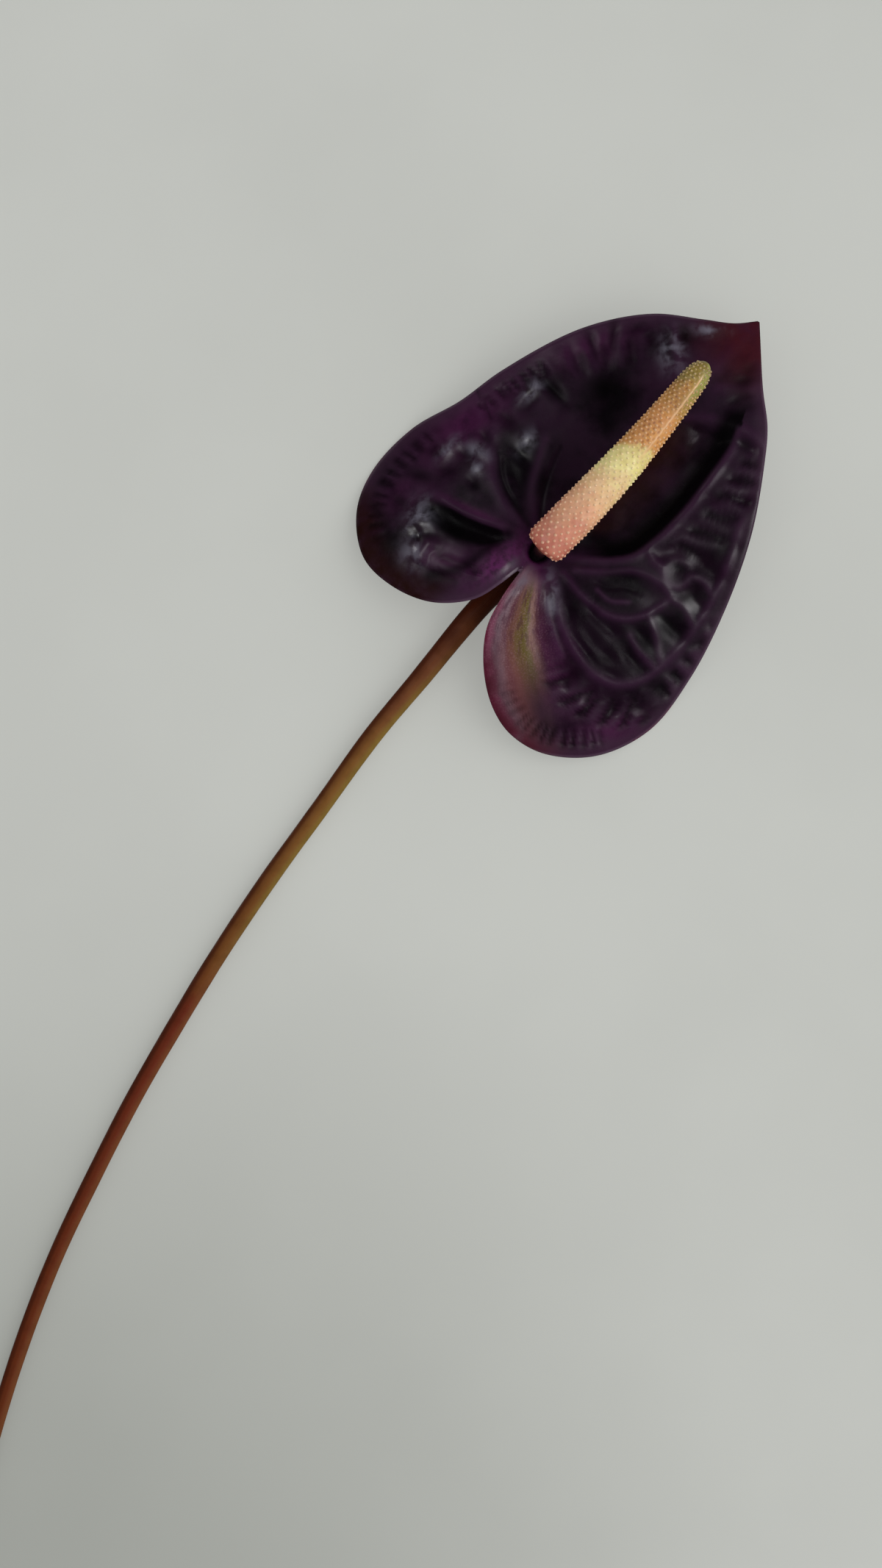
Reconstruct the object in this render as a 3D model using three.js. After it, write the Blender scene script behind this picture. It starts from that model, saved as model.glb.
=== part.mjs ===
// A cut anthurium flower lying face up on a table: a heart-shaped leathery spathe with a
// hollow round its spadix, the short stipe below the spadix, and one long tapering stem.
// Millimetres, +Z up. The blossom is built with its midrib along +Y and its right half at +X,
// then turned as one group, and the stem runs from below it down to the table.
import * as THREE from 'three';

// Spathe
const SPATHE_THICKNESS = 0.9;
const RIM_HEIGHT = 17;
const HOLLOW_DEPTH = 4.5;
const HOLLOW_HALF_WIDTH = 19;
const HOLLOW_HALF_LENGTH = 28;
const HOLLOW_CENTRE_Y = 31;
const HOLLOW_EDGE_SOFTNESS = 0.12;
const HUB = new THREE.Vector2(0.3, 4);
const HUB_HOLE_RADIUS = 3.6;
const HUB_DIP = 3;
const HUB_DIP_RADIUS = 8;
const RIGHT_REACH = 50;
const LEFT_REACH = 44;
const RIGHT_DROOP = 15.9;
const LEFT_DROOP = 15.75;
const FLANK_POWER = 2.2;
const FLANK_CENTRE_Y = -5;
const FLANK_LENGTH = 60;
const LOBE_DROOP = 5.6;
const LOBE_REACH = 32;
const TIP_DROOP = 5;
const TIP_START_Y = 45;
const TIP_REACH = 38;
const SPATHE_RINGS = 14;
const SPATHE_RAYS = 120;

// Spadix and stipe
const SPADIX_RADII = [5.1, 5.1, 4.85, 4.5, 4.0, 3.55, 3.05];
const SPADIX_END_LENGTH = 3;
const SPADIX_SIDES = 28;
const STIPE_RADIUS = 2;
const STIPE_SIDES = 16;

// Stem
const STEM_TOP_RADIUS = 2.4;
const STEM_FOOT_RADIUS = 1.75;
const STEM_SIDES = 14;
const STEM_STEP = 5;

// The blossom's midrib points up and to the right of the table's +Y.
const BLOSSOM_TURN = THREE.MathUtils.degToRad(-43.85);

// Outline of the spathe from the notch round each side to the tip.
const RIGHT_OUTLINE = [
  [0.4, -2.5],
  [1.5, -10],
  [4, -18],
  [10, -25.3],
  [18, -30.6],
  [26, -32.4],
  [35.5, -30],
  [45.5, -21],
  [50.6, -7],
  [48.8, 9],
  [43.2, 26],
  [35, 43],
  [25, 57.7],
  [19.5, 64.5],
  [12, 70.8],
  [0, 82.6],
];
const LEFT_OUTLINE = [
  [0, 82.6],
  [-4, 77.6],
  [-10, 72.9],
  [-20, 65],
  [-30, 50.7],
  [-37.4, 30.6],
  [-40, 18.5],
  [-44.3, 6],
  [-44.4, -8],
  [-40, -18.5],
  [-30.3, -26],
  [-20, -26.4],
  [-10, -22.6],
  [-3, -15],
  [-1, -8],
  [-0.2, -2.5],
];

// Routes: the stem in the table's frame, the stipe and the spadix in the blossom's.
const STEM_ROUTE = [
  [1.7, 1.4, 10.7],
  [0.6, 0.4, 9.2],
  [-1.4, -1.5, 8.2],
  [-8, -8, 6.9],
  [-15.7, -14.6, 5.7],
  [-25.5, -27, 4.1],
  [-37.6, -41.5, 3.05],
  [-51, -60, 2.45],
  [-64, -78, 2.25],
  [-76.3, -96.5, 2.15],
  [-87.5, -115, 2.1],
  [-97.8, -133, 2.05],
  [-107.3, -151.6, 2],
  [-116.1, -170, 1.95],
  [-123.5, -188.5, 1.9],
  [-130, -208, 1.85],
  [-135.5, -228, 1.8],
  [-139.5, -246, 1.75],
  [-142, -258, 1.75],
];
const STIPE_ROUTE = [
  [0.3, 2.7, 11.2],
  [0.3, 4.2, 13.4],
  [0.45, 5.7, 15.8],
];
const SPADIX_ROUTE = [
  [0.6, 4, 20.9],
  [0.9, 18, 23.6],
  [0.8, 33, 26.5],
  [0, 48, 29.4],
  [-1.2, 62, 32],
];

const UP = new THREE.Vector3(0, 0, 1);

function route(points) {
  return new THREE.CatmullRomCurve3(points.map((p) => new THREE.Vector3(...p)));
}

function outline(points, count) {
  const flat = points.map(([x, y]) => new THREE.Vector3(x, y, 0));
  return new THREE.CatmullRomCurve3(flat).getSpacedPoints(count);
}

// Height of the middle of the spathe's wall above the table.
function spatheHeight(x, y) {
  const reach = x > 0 ? RIGHT_REACH : LEFT_REACH;
  const droop = x > 0 ? RIGHT_DROOP : LEFT_DROOP;
  const fade = Math.exp(-(((y - FLANK_CENTRE_Y) / FLANK_LENGTH) ** 2));
  const flank = droop * (Math.abs(x) / reach) ** FLANK_POWER * fade;
  const lobe = LOBE_DROOP * (Math.max(0, -y) / LOBE_REACH) ** 2;
  const tip = TIP_DROOP * (Math.max(0, y - TIP_START_Y) / TIP_REACH) ** 2;
  const inside =
    1 - (x / HOLLOW_HALF_WIDTH) ** 2 - ((y - HOLLOW_CENTRE_Y) / HOLLOW_HALF_LENGTH) ** 2;
  const soft = HOLLOW_EDGE_SOFTNESS;
  const hollow = HOLLOW_DEPTH * soft * Math.log(1 + Math.exp(inside / soft));
  const fromHub = Math.hypot(x - HUB.x, y - HUB.y) / HUB_DIP_RADIUS;
  const dip = HUB_DIP * Math.exp(-(fromHub ** 2));
  return RIM_HEIGHT - flank - lobe - tip - hollow - dip;
}

// A subdivided box is wrapped round the hub: its x runs from the hub's hole out to the
// outline, its y along the outline from one side of the notch to the other, and its z
// through the wall.
function spatheGeometry() {
  const half = SPATHE_RAYS / 2;
  const right = outline(RIGHT_OUTLINE, half);
  const left = outline(LEFT_OUTLINE, half);
  const margin = right.concat(left.slice(1));
  const box = new THREE.BoxGeometry(1, 1, 1, SPATHE_RINGS, SPATHE_RAYS, 1);
  const position = box.getAttribute('position');
  for (let i = 0; i < position.count; i += 1) {
    const outward = position.getX(i) + 0.5;
    const ray = Math.round((position.getY(i) + 0.5) * SPATHE_RAYS);
    const angle = Math.atan2(margin[ray].y - HUB.y, margin[ray].x - HUB.x);
    const innerX = HUB.x + HUB_HOLE_RADIUS * Math.cos(angle);
    const innerY = HUB.y + HUB_HOLE_RADIUS * Math.sin(angle);
    const x = THREE.MathUtils.lerp(innerX, margin[ray].x, outward);
    const y = THREE.MathUtils.lerp(innerY, margin[ray].y, outward);
    const z = spatheHeight(x, y) + position.getZ(i) * SPATHE_THICKNESS;
    position.setXYZ(i, x, y, z);
  }
  box.computeVertexNormals();
  return box;
}

// A turned shape whose axis is +Y, bent so that the axis follows a route from end to end.
function turnedAlong(path, profile, sides) {
  const geometry = new THREE.LatheGeometry(profile, sides);
  const length = profile[profile.length - 1].y;
  const position = geometry.getAttribute('position');
  for (let i = 0; i < position.count; i += 1) {
    const along = THREE.MathUtils.clamp(position.getY(i) / length, 0, 1);
    const tangent = path.getTangentAt(along);
    const side = tangent.clone().cross(UP).normalize();
    const top = side.clone().cross(tangent);
    const point = path.getPointAt(along);
    point.addScaledVector(side, position.getX(i));
    point.addScaledVector(top, position.getZ(i));
    position.setXYZ(i, point.x, point.y, point.z);
  }
  geometry.computeVertexNormals();
  return geometry;
}

function stemGeometry() {
  const path = route(STEM_ROUTE);
  const length = path.getLength();
  const steps = Math.round(length / STEM_STEP);
  const profile = [new THREE.Vector2(0, 0)];
  for (let i = 0; i <= steps; i += 1) {
    const along = i / steps;
    const radius = THREE.MathUtils.lerp(STEM_TOP_RADIUS, STEM_FOOT_RADIUS, along);
    profile.push(new THREE.Vector2(radius, along * length));
  }
  profile.push(new THREE.Vector2(0, length));
  return turnedAlong(path, profile, STEM_SIDES);
}

function stipeGeometry() {
  const path = route(STIPE_ROUTE);
  const length = path.getLength();
  const profile = [
    new THREE.Vector2(0, 0),
    new THREE.Vector2(STIPE_RADIUS, 0),
    new THREE.Vector2(STIPE_RADIUS, length / 2),
    new THREE.Vector2(STIPE_RADIUS, length),
    new THREE.Vector2(0, length),
  ];
  return turnedAlong(path, profile, STIPE_SIDES);
}

function spadixGeometry() {
  const path = route(SPADIX_ROUTE);
  const length = path.getLength();
  const profile = [];
  const last = SPADIX_RADII.length - 1;
  for (const turn of [0, 0.3, 0.6, 0.85]) {
    const angle = (turn * Math.PI) / 2;
    const y = SPADIX_END_LENGTH * (1 - Math.cos(angle));
    profile.push(new THREE.Vector2(SPADIX_RADII[0] * Math.sin(angle), y));
  }
  const body = length - 2 * SPADIX_END_LENGTH;
  SPADIX_RADII.forEach((radius, i) => {
    profile.push(new THREE.Vector2(radius, SPADIX_END_LENGTH + (body * i) / last));
  });
  for (const turn of [0.7, 0.4, 0]) {
    const angle = (turn * Math.PI) / 2;
    const y = length - SPADIX_END_LENGTH * (1 - Math.cos(angle));
    profile.push(new THREE.Vector2(SPADIX_RADII[last] * Math.sin(angle), y));
  }
  return turnedAlong(path, profile, SPADIX_SIDES);
}

function piece(name, geometry, color, roughness) {
  const material = new THREE.MeshStandardMaterial({ color, roughness, metalness: 0 });
  const mesh = new THREE.Mesh(geometry, material);
  mesh.name = name;
  return mesh;
}

const blossom = new THREE.Group();
blossom.rotation.z = BLOSSOM_TURN;
blossom.add(piece('spathe', spatheGeometry(), 0x2a1430, 0.3));
blossom.add(piece('stipe', stipeGeometry(), 0x4a2450, 0.45));
blossom.add(piece('spadix', spadixGeometry(), 0xe3b184, 0.5));

const flower = new THREE.Group();
flower.add(blossom);
flower.add(piece('stem', stemGeometry(), 0x6b3a20, 0.4));

// The origin is under the middle of the whole flower, on the table.
const extent = new THREE.Box3().setFromObject(flower, true);
const middle = extent.getCenter(new THREE.Vector3());
flower.position.set(-middle.x, -middle.y, -extent.min.z);

export default flower;
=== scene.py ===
"""A cut anthurium flower lying face up on a pale table, seen from straight above.

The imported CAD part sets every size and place. This script gives each of its four pieces a fine
surface: the puckered glossy spathe, the spadix with its florets, the stipe and the stem.
Lengths in the classes are millimetres in the blossom's own frame, where the spathe's midrib runs
along +Y, its right half is at +X and the notch between its lobes is at the origin. They are
turned and moved into the row frame, in metres, as each mesh is made.
"""

import logging
import math
from collections.abc import Iterator
from contextlib import contextmanager
from dataclasses import dataclass, field
from enum import Enum

import bpy
import numpy as np
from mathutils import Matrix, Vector, noise


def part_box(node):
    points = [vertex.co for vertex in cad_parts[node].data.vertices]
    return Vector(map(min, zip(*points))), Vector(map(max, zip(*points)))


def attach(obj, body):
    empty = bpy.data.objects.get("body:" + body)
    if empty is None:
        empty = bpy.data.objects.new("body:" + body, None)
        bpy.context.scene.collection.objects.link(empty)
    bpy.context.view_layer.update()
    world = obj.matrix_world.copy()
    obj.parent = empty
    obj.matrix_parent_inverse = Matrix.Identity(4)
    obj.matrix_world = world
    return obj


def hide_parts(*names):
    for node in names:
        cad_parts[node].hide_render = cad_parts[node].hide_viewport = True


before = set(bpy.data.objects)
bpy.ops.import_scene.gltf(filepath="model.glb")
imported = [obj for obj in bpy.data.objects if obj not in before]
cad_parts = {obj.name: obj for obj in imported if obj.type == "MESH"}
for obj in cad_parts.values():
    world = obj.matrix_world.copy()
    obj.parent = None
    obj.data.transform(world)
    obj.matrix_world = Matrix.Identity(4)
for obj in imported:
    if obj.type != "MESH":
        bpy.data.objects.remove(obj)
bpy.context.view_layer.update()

LOG = logging.getLogger("anthurium")
MM = 0.001
ROOT = "root"
BLOSSOM_TURN = math.radians(-43.85)
MERGE_RANGE = 2e-6
SAMPLE_STEP = 0.5
CURVE_STEPS = 60
Points = np.ndarray
Socket = bpy.types.NodeSocket


# ---------------------------------------------------------------- curves and meshes


def spline(points: list, count: int) -> Points:
    """Points evenly spaced along a centripetal Catmull-Rom curve, as the CAD model's curves are.

    Args:
        points: The curve's control points.
        count: How many points to return.

    Returns:
        An array of count points.
    """
    p = np.asarray(points, float)
    p = np.vstack([2 * p[0] - p[1], p, 2 * p[-1] - p[-2]])
    pieces = []
    for a, b, c, d in zip(p, p[1:], p[2:], p[3:]):
        steps = np.diff([a, b, c, d], axis=0)
        ab, bc, cd = (max(float(np.linalg.norm(step)) ** 0.5, 1e-4) for step in steps)
        start = ((b - a) / ab - (c - a) / (ab + bc) + (c - b) / bc) * bc
        end = ((c - b) / bc - (d - b) / (bc + cd) + (d - c) / cd) * bc
        t = np.linspace(0, 1, CURVE_STEPS, endpoint=False)[:, None]
        cubic = (2 * b - 2 * c + start + end) * t**3 + (3 * c - 3 * b - 2 * start - end) * t**2
        pieces.append(cubic + start * t + b)
    return resample(np.vstack([*pieces, p[-2][None]]), count)


def resample(points: Points, count: int) -> Points:
    """Points evenly spaced along a run of points."""
    run = np.concatenate([[0], np.cumsum(np.linalg.norm(np.diff(points, axis=0), axis=1))])
    places = np.linspace(0, run[-1], count)
    return np.stack([np.interp(places, run, column) for column in points.T], axis=1)


def length_of(points: Points) -> float:
    """Length of a run of points."""
    return float(np.linalg.norm(np.diff(points, axis=0), axis=1).sum())


def smooth(value: Points, low: float, high: float) -> Points:
    """Smooth step from 0 at low to 1 at high."""
    t = np.clip((value - low) / (high - low), 0, 1)
    return t * t * (3 - 2 * t)


def bell(value: Points, width: float) -> Points:
    """Bell curve: 1 where the value is zero, and near 0 at twice the width."""
    return np.exp(-((value / width) ** 2))


def rounded(share: Points, end: float) -> Points:
    """Share of the full radius where a round end closes over the first part of a length."""
    return np.sqrt(np.clip(1 - np.clip(1 - share / end, 0, 1) ** 2, 0, 1))


@dataclass
class Track:
    """Where a set of plan points lies against a curve: distance, signed side and share along it."""

    distance: Points
    side: Points
    share: Points


def track(points: Points, curve: list) -> Track:
    """Measures every plan point against a curve.

    Args:
        points: Plan points, n by 2.
        curve: The curve's control points.

    Returns:
        Distances, the same signed positive to the curve's left, and shares from 0 to 1 along it.
    """
    rough = spline(curve, 40)
    line = spline(curve, max(8, int(length_of(rough) / SAMPLE_STEP)))
    middle = (line[1:] + line[:-1]) / 2
    direction = np.diff(line, axis=0)
    direction /= np.linalg.norm(direction, axis=1)[:, None]
    best = np.full(len(points), np.inf)
    nearest = np.zeros(len(points), int)
    for k, m in enumerate(middle):
        d = (points[:, 0] - m[0]) ** 2 + (points[:, 1] - m[1]) ** 2
        closer = d < best
        best[closer] = d[closer]
        nearest[closer] = k
    away = points - middle[nearest]
    along = (away * direction[nearest]).sum(axis=1)
    across = direction[nearest, 0] * away[:, 1] - direction[nearest, 1] * away[:, 0]
    beyond = np.clip(np.abs(along) - SAMPLE_STEP / 2, 0, None)
    distance = np.hypot(across, beyond)
    return Track(distance, np.sign(across) * distance, (nearest + 0.5) / len(middle))


@dataclass
class Placement:
    """Turns blossom-frame or table-frame millimetres into row-frame metres."""

    shift: Points

    def blossom(self, points: Points) -> Points:
        """Row-frame metres of points given in the blossom's frame."""
        c, s = math.cos(BLOSSOM_TURN), math.sin(BLOSSOM_TURN)
        turned = points @ np.array([[c, s, 0], [-s, c, 0], [0, 0, 1]])
        return self.table(turned)

    def table(self, points: Points) -> Points:
        """Row-frame metres of points given in the table's frame."""
        return (points + self.shift) * MM


def new_piece(name: str, points: Points, faces: list) -> bpy.types.Object:
    """A new object whose mesh holds the given points, in metres, with smooth faces."""
    mesh = bpy.data.meshes.new(name)
    mesh.from_pydata([tuple(p) for p in points], [], faces)
    mesh.update()
    piece = bpy.data.objects.new(name, mesh)
    bpy.context.scene.collection.objects.link(piece)
    return piece


def pick(piece: bpy.types.Object) -> None:
    """Makes a piece the only selected and the active object."""
    bpy.ops.object.select_all(action="DESELECT")
    piece.select_set(True)
    bpy.context.view_layer.objects.active = piece


def paint(piece: bpy.types.Object, name: str, values: Points) -> None:
    """Stores one value for each vertex as a named attribute that a material reads."""
    attribute = piece.data.attributes.new(name, "FLOAT", "POINT")
    attribute.data.foreach_set("value", np.asarray(values, np.float32))


@contextmanager
def whole_mesh(piece: bpy.types.Object) -> Iterator[None]:
    """Edit mode on a piece with its whole mesh selected."""
    pick(piece)
    bpy.ops.object.mode_set(mode="EDIT")
    bpy.ops.mesh.select_all(action="SELECT")
    yield
    bpy.ops.object.mode_set(mode="OBJECT")


def wrapped_grid(name: str, around: int, along: int) -> tuple[bpy.types.Object, Points, Points]:
    """A grid primitive whose two sides are to be joined into a tube.

    Args:
        name: The piece's name.
        around: Faces round the tube.
        along: Faces along it.

    Returns:
        The object, and each vertex's share round and share along, from 0 to 1.
    """
    bpy.ops.mesh.primitive_grid_add(x_subdivisions=around, y_subdivisions=along, size=2)
    piece = bpy.context.object
    piece.name = piece.data.name = name
    co = np.empty(len(piece.data.vertices) * 3)
    piece.data.vertices.foreach_get("co", co)
    co = co.reshape(-1, 3)
    return piece, (co[:, 0] + 1) / 2, (co[:, 1] + 1) / 2


def tube(name: str, around: int, along: int) -> tuple[bpy.types.Object, Points, Points]:
    """A wrapped grid with each vertex's turn round the tube, -pi to pi, and share along it."""
    piece, round_share, share = wrapped_grid(name, around, along)
    return piece, (round_share * 2 - 1) * math.pi, share


def place(piece: bpy.types.Object, points: Points) -> None:
    """Moves every vertex of a piece to its place, in metres."""
    piece.data.vertices.foreach_set("co", np.asarray(points, float).ravel())
    piece.data.update()


def merge(piece: bpy.types.Object) -> None:
    """Merges a wrapped grid's seam and poles, and makes its faces agree."""
    with whole_mesh(piece):
        bpy.ops.mesh.remove_doubles(threshold=MERGE_RANGE)
        bpy.ops.mesh.normals_make_consistent(inside=False)


def sew(piece: bpy.types.Object) -> None:
    """Closes a wrapped grid into a smooth-shaded solid."""
    merge(piece)
    bpy.ops.object.shade_smooth()


def frames_along(path: Points) -> tuple[Points, Points]:
    """Sideways and upward directions at every point of a path."""
    tangent = np.gradient(path, axis=0)
    tangent /= np.linalg.norm(tangent, axis=1)[:, None]
    side = np.cross(tangent, [0, 0, 1.0])
    side /= np.linalg.norm(side, axis=1)[:, None]
    return side, np.cross(side, tangent)


def around_path(path: Points, share: Points, offset: Points, turn: Points) -> Points:
    """Places points round a path.

    Args:
        path: The path's points, evenly spaced.
        share: Each point's share along the path.
        offset: Its distance from the path.
        turn: Its angle from straight up, positive towards the path's right.

    Returns:
        The points' places.
    """
    side, up = frames_along(path)
    at = np.clip(share, 0, 1) * (len(path) - 1)
    steps = np.arange(len(path))

    def mixed(values: Points) -> Points:
        return np.stack([np.interp(at, steps, values[:, k]) for k in range(3)], axis=1)

    sideways = (offset * np.sin(turn))[:, None] * mixed(side)
    upward = (offset * np.cos(turn))[:, None] * mixed(up)
    return mixed(path) + sideways + upward


# ---------------------------------------------------------------- node tools


class Nodes:
    """Builds one material's or group's node tree with short calls."""

    def __init__(self, tree: bpy.types.NodeTree) -> None:
        """Keeps the tree that nodes go into."""
        self.tree = tree

    def add(self, kind: str, **settings: object) -> bpy.types.Node:
        """A new node of a kind, with its properties set."""
        node = self.tree.nodes.new(kind)
        for name, value in settings.items():
            setattr(node, name, value)
        return node

    def feed(self, node: bpy.types.Node, socket: object, value: object) -> None:
        """Links an output to an input, or sets the input's own value."""
        if isinstance(value, Socket):
            self.tree.links.new(value, node.inputs[socket])
        else:
            node.inputs[socket].default_value = value

    def fill(self, node: bpy.types.Node, items: dict) -> None:
        """Feeds several inputs of one node."""
        for socket, item in items.items():
            self.feed(node, socket, item)

    def value(self, name: str) -> Socket:
        """The value of one of the piece's own attributes."""
        return self.add("ShaderNodeAttribute", attribute_name=name).outputs["Fac"]

    def coordinates(self) -> Socket:
        """The piece's own coordinates, in metres."""
        return self.add("ShaderNodeTexCoord").outputs["Object"]

    def vector(self, x: object, y: object) -> Socket:
        """A vector with two values given and the third zero."""
        node = self.add("ShaderNodeCombineXYZ")
        self.fill(node, {0: x, 1: y})
        return node.outputs[0]

    def maths(self, operation: str, a: object, b: object, clamp: bool = False) -> Socket:
        """The result of one Math node."""
        node = self.add("ShaderNodeMath", operation=operation, use_clamp=clamp)
        self.fill(node, {0: a, 1: b})
        return node.outputs[0]

    def times(self, a: object, b: object, clamp: bool = False) -> Socket:
        """Two values multiplied."""
        return self.maths("MULTIPLY", a, b, clamp)

    def range(
        self, value: object, low: float, high: float, start: float = 0.0, end: float = 1.0
    ) -> Socket:
        """A value taken smoothly from the range low..high to start..end."""
        node = self.add("ShaderNodeMapRange", interpolation_type="SMOOTHSTEP")
        ends = {"From Min": low, "From Max": high, "To Min": start, "To Max": end}
        self.fill(node, {"Value": value, **ends})
        return node.outputs["Result"]

    def mix(self, factor: object, a: object, b: object, blend: str = "MIX") -> Socket:
        """Two colours mixed by a factor."""
        node = self.add("ShaderNodeMix", data_type="RGBA", blend_type=blend, clamp_factor=True)
        self.feed(node, 0, factor)
        for socket, item in ((6, a), (7, b)):
            self.feed(node, socket, rgba(item) if isinstance(item, tuple) else item)
        return node.outputs[2]

    def noise(self, scale: float, detail: float, **extra: float) -> Socket:
        """Noise on the piece's coordinates, with features about 1/scale metres across."""
        node = self.add("ShaderNodeTexNoise")
        place_at = self.coordinates()
        self.fill(node, {"Vector": place_at, "Scale": scale, "Detail": detail, **extra})
        return node.outputs["Fac"]

    def ramp(self, value: object, stops: list) -> Socket:
        """A colour ramp over (place, colour) stops."""
        node = self.add("ShaderNodeValToRGB")
        self.feed(node, 0, value)
        ramp = node.color_ramp
        ramp.interpolation = "EASE"
        while len(ramp.elements) < len(stops):
            ramp.elements.new(0.5)
        for element, (place_at, colour) in zip(ramp.elements, stops):
            element.position = place_at
            element.color = rgba(colour)
        return node.outputs["Color"]


def rgba(colour: tuple) -> tuple:
    """Linear RGBA of a colour given as 0 to 255 display values."""
    shares = [c / 255 for c in colour[:3]]
    linear = [c / 12.92 if c <= 0.0404 else ((c + 0.055) / 1.055) ** 2.4 for c in shares]
    return (*linear, 1.0)


def skin_group() -> bpy.types.NodeTree:
    """The shared plant-skin effect: cell grain and waviness as a height, and wax mottling."""
    found = bpy.data.node_groups.get("plant skin")
    if found:
        return found
    tree = bpy.data.node_groups.new("plant skin", "ShaderNodeTree")
    for name, way in (("Grain", "INPUT"), ("Height", "OUTPUT"), ("Mottle", "OUTPUT")):
        tree.interface.new_socket(name, in_out=way, socket_type="NodeSocketFloat")
    n = Nodes(tree)
    inside = n.add("NodeGroupInput")
    out = n.add("NodeGroupOutput")
    grain = n.times(n.noise(5200, 2), inside.outputs["Grain"])
    n.feed(out, "Height", n.maths("ADD", grain, n.noise(700, 3)))
    n.feed(out, "Mottle", n.noise(240, 4))
    return tree


@dataclass(frozen=True)
class Gloss:
    """Numbers set directly on a Principled shader."""

    roughness: float = 0.4
    coat: float = 0.0
    coat_roughness: float = 0.2
    specular: float = 0.5
    subsurface: float = 0.0
    bump: float = 0.0002


def shader(name: str, gloss: Gloss) -> tuple[bpy.types.Material, Nodes, bpy.types.Node]:
    """A new material with one Principled shader set up with its gloss, ready for its colour."""
    material = bpy.data.materials.new(name)
    material.use_nodes = True
    nodes = Nodes(material.node_tree)
    principled = material.node_tree.nodes["Principled BSDF"]
    nodes.fill(principled, {
        "Roughness": gloss.roughness,
        "Coat Weight": gloss.coat,
        "Coat Roughness": gloss.coat_roughness,
        "Specular IOR Level": gloss.specular,
        "Subsurface Weight": gloss.subsurface,
        "Subsurface Scale": 0.002,
    })
    return material, nodes, principled


def skin(nodes: Nodes, principled: bpy.types.Node, gloss: Gloss, grain: float) -> Socket:
    """Adds the plant-skin effect to a material.

    Args:
        nodes: The material's nodes.
        principled: Its shader.
        gloss: Its gloss, for the bump distance and the roughness that the mottling varies.
        grain: Strength of the fine cell grain.

    Returns:
        The mottling, from 0 to 1.
    """
    group = nodes.add("ShaderNodeGroup")
    group.node_tree = skin_group()
    nodes.feed(group, "Grain", grain)
    bump = nodes.add("ShaderNodeBump")
    nodes.fill(bump, {"Distance": gloss.bump, "Height": group.outputs["Height"]})
    nodes.feed(principled, "Normal", bump.outputs[0])
    low, high = gloss.roughness * 0.8, gloss.roughness * 1.25
    mottle = group.outputs["Mottle"]
    nodes.feed(principled, "Roughness", nodes.range(mottle, 0.35, 0.65, low, high))
    return mottle


# ---------------------------------------------------------------- the spathe


@dataclass(frozen=True)
class Fold:
    """A raised vein, or a crease where its height is below zero, along a plan curve."""

    height: float
    width: float
    points: list


@dataclass(frozen=True)
class Dish:
    """A soft hollow, or a swelling where its depth is below zero: centre, half sizes and turn."""

    x: float
    y: float
    long: float
    wide: float
    turn: float
    depth: float


@dataclass(frozen=True)
class Ribs:
    """A row of short ridges that stand out sideways from a plan curve.

    near and far are signed distances from the curve, first and last are millimetres along it,
    and slant is how far a rib leans along the curve for each millimetre it goes outwards.
    """

    spacing: float
    depth: float
    near: float
    far: float
    first: float
    last: float
    slant: float
    points: list


class Side(Enum):
    """Which half of the spathe a size belongs to."""

    RIGHT = 1
    LEFT = -1


RIGHT_OUTLINE = [
    [0.4, -2.5], [1.5, -10], [4, -18], [10, -25.3], [18, -30.6], [26, -32.4], [35.5, -30],
    [45.5, -21], [50.6, -7], [48.8, 9], [43.2, 26], [35, 43], [25, 57.7], [19.5, 64.5],
    [12, 70.8], [0, 82.6],
]
LEFT_OUTLINE = [
    [0, 82.6], [-4, 77.6], [-10, 72.9], [-20, 65], [-30, 50.7], [-37.4, 30.6], [-40, 18.5],
    [-44.3, 6], [-44.4, -8], [-40, -18.5], [-30.3, -26], [-20, -26.4], [-10, -22.6], [-3, -15],
    [-1, -8], [-0.2, -2.5],
]
NOTCH_EDGE = [[0.6, -1], [0.9, -5], [1.5, -10], [4, -18], [10, -25.3], [18, -30.6], [26, -32.4]]
NOTCH_LINE = [[5.5, 1.6], [9.6, -0.8], [15.4, -4.4], [24.4, -8.6], [33, -14.6], [41, -22]]
BASIN_CREST = [
    [5.7, 7.8], [11, 11.6], [15, 15.2], [17.9, 19.5], [19.1, 26], [19.4, 34], [18.4, 45],
    [16.6, 56], [15.2, 59],
]
LEFT_RIDGE = [[-6.6, 4.6], [-11.4, 1.6], [-16, -0.4], [-20.5, -1.8], [-28.3, -3]]
LEFT_GROOVE = [[-8, 2], [-9.2, -3], [-9.6, -7.6], [-11.8, -14], [-15, -18]]
LATERAL_CREST = [[3.6, 52.6], [8.2, 56.2], [13.2, 59.1], [19, 60.6], [24, 61]]
OUTER_ARC = [
    [6, 2.2], [10.7, -0.8], [15.7, -4.5], [23.8, -7.2], [31.2, -7.7], [37, -4.9], [40.4, 0.2],
    [41.4, 7], [41.3, 14], [40.4, 20], [38.6, 27], [35.4, 35], [30.5, 44],
]


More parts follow.
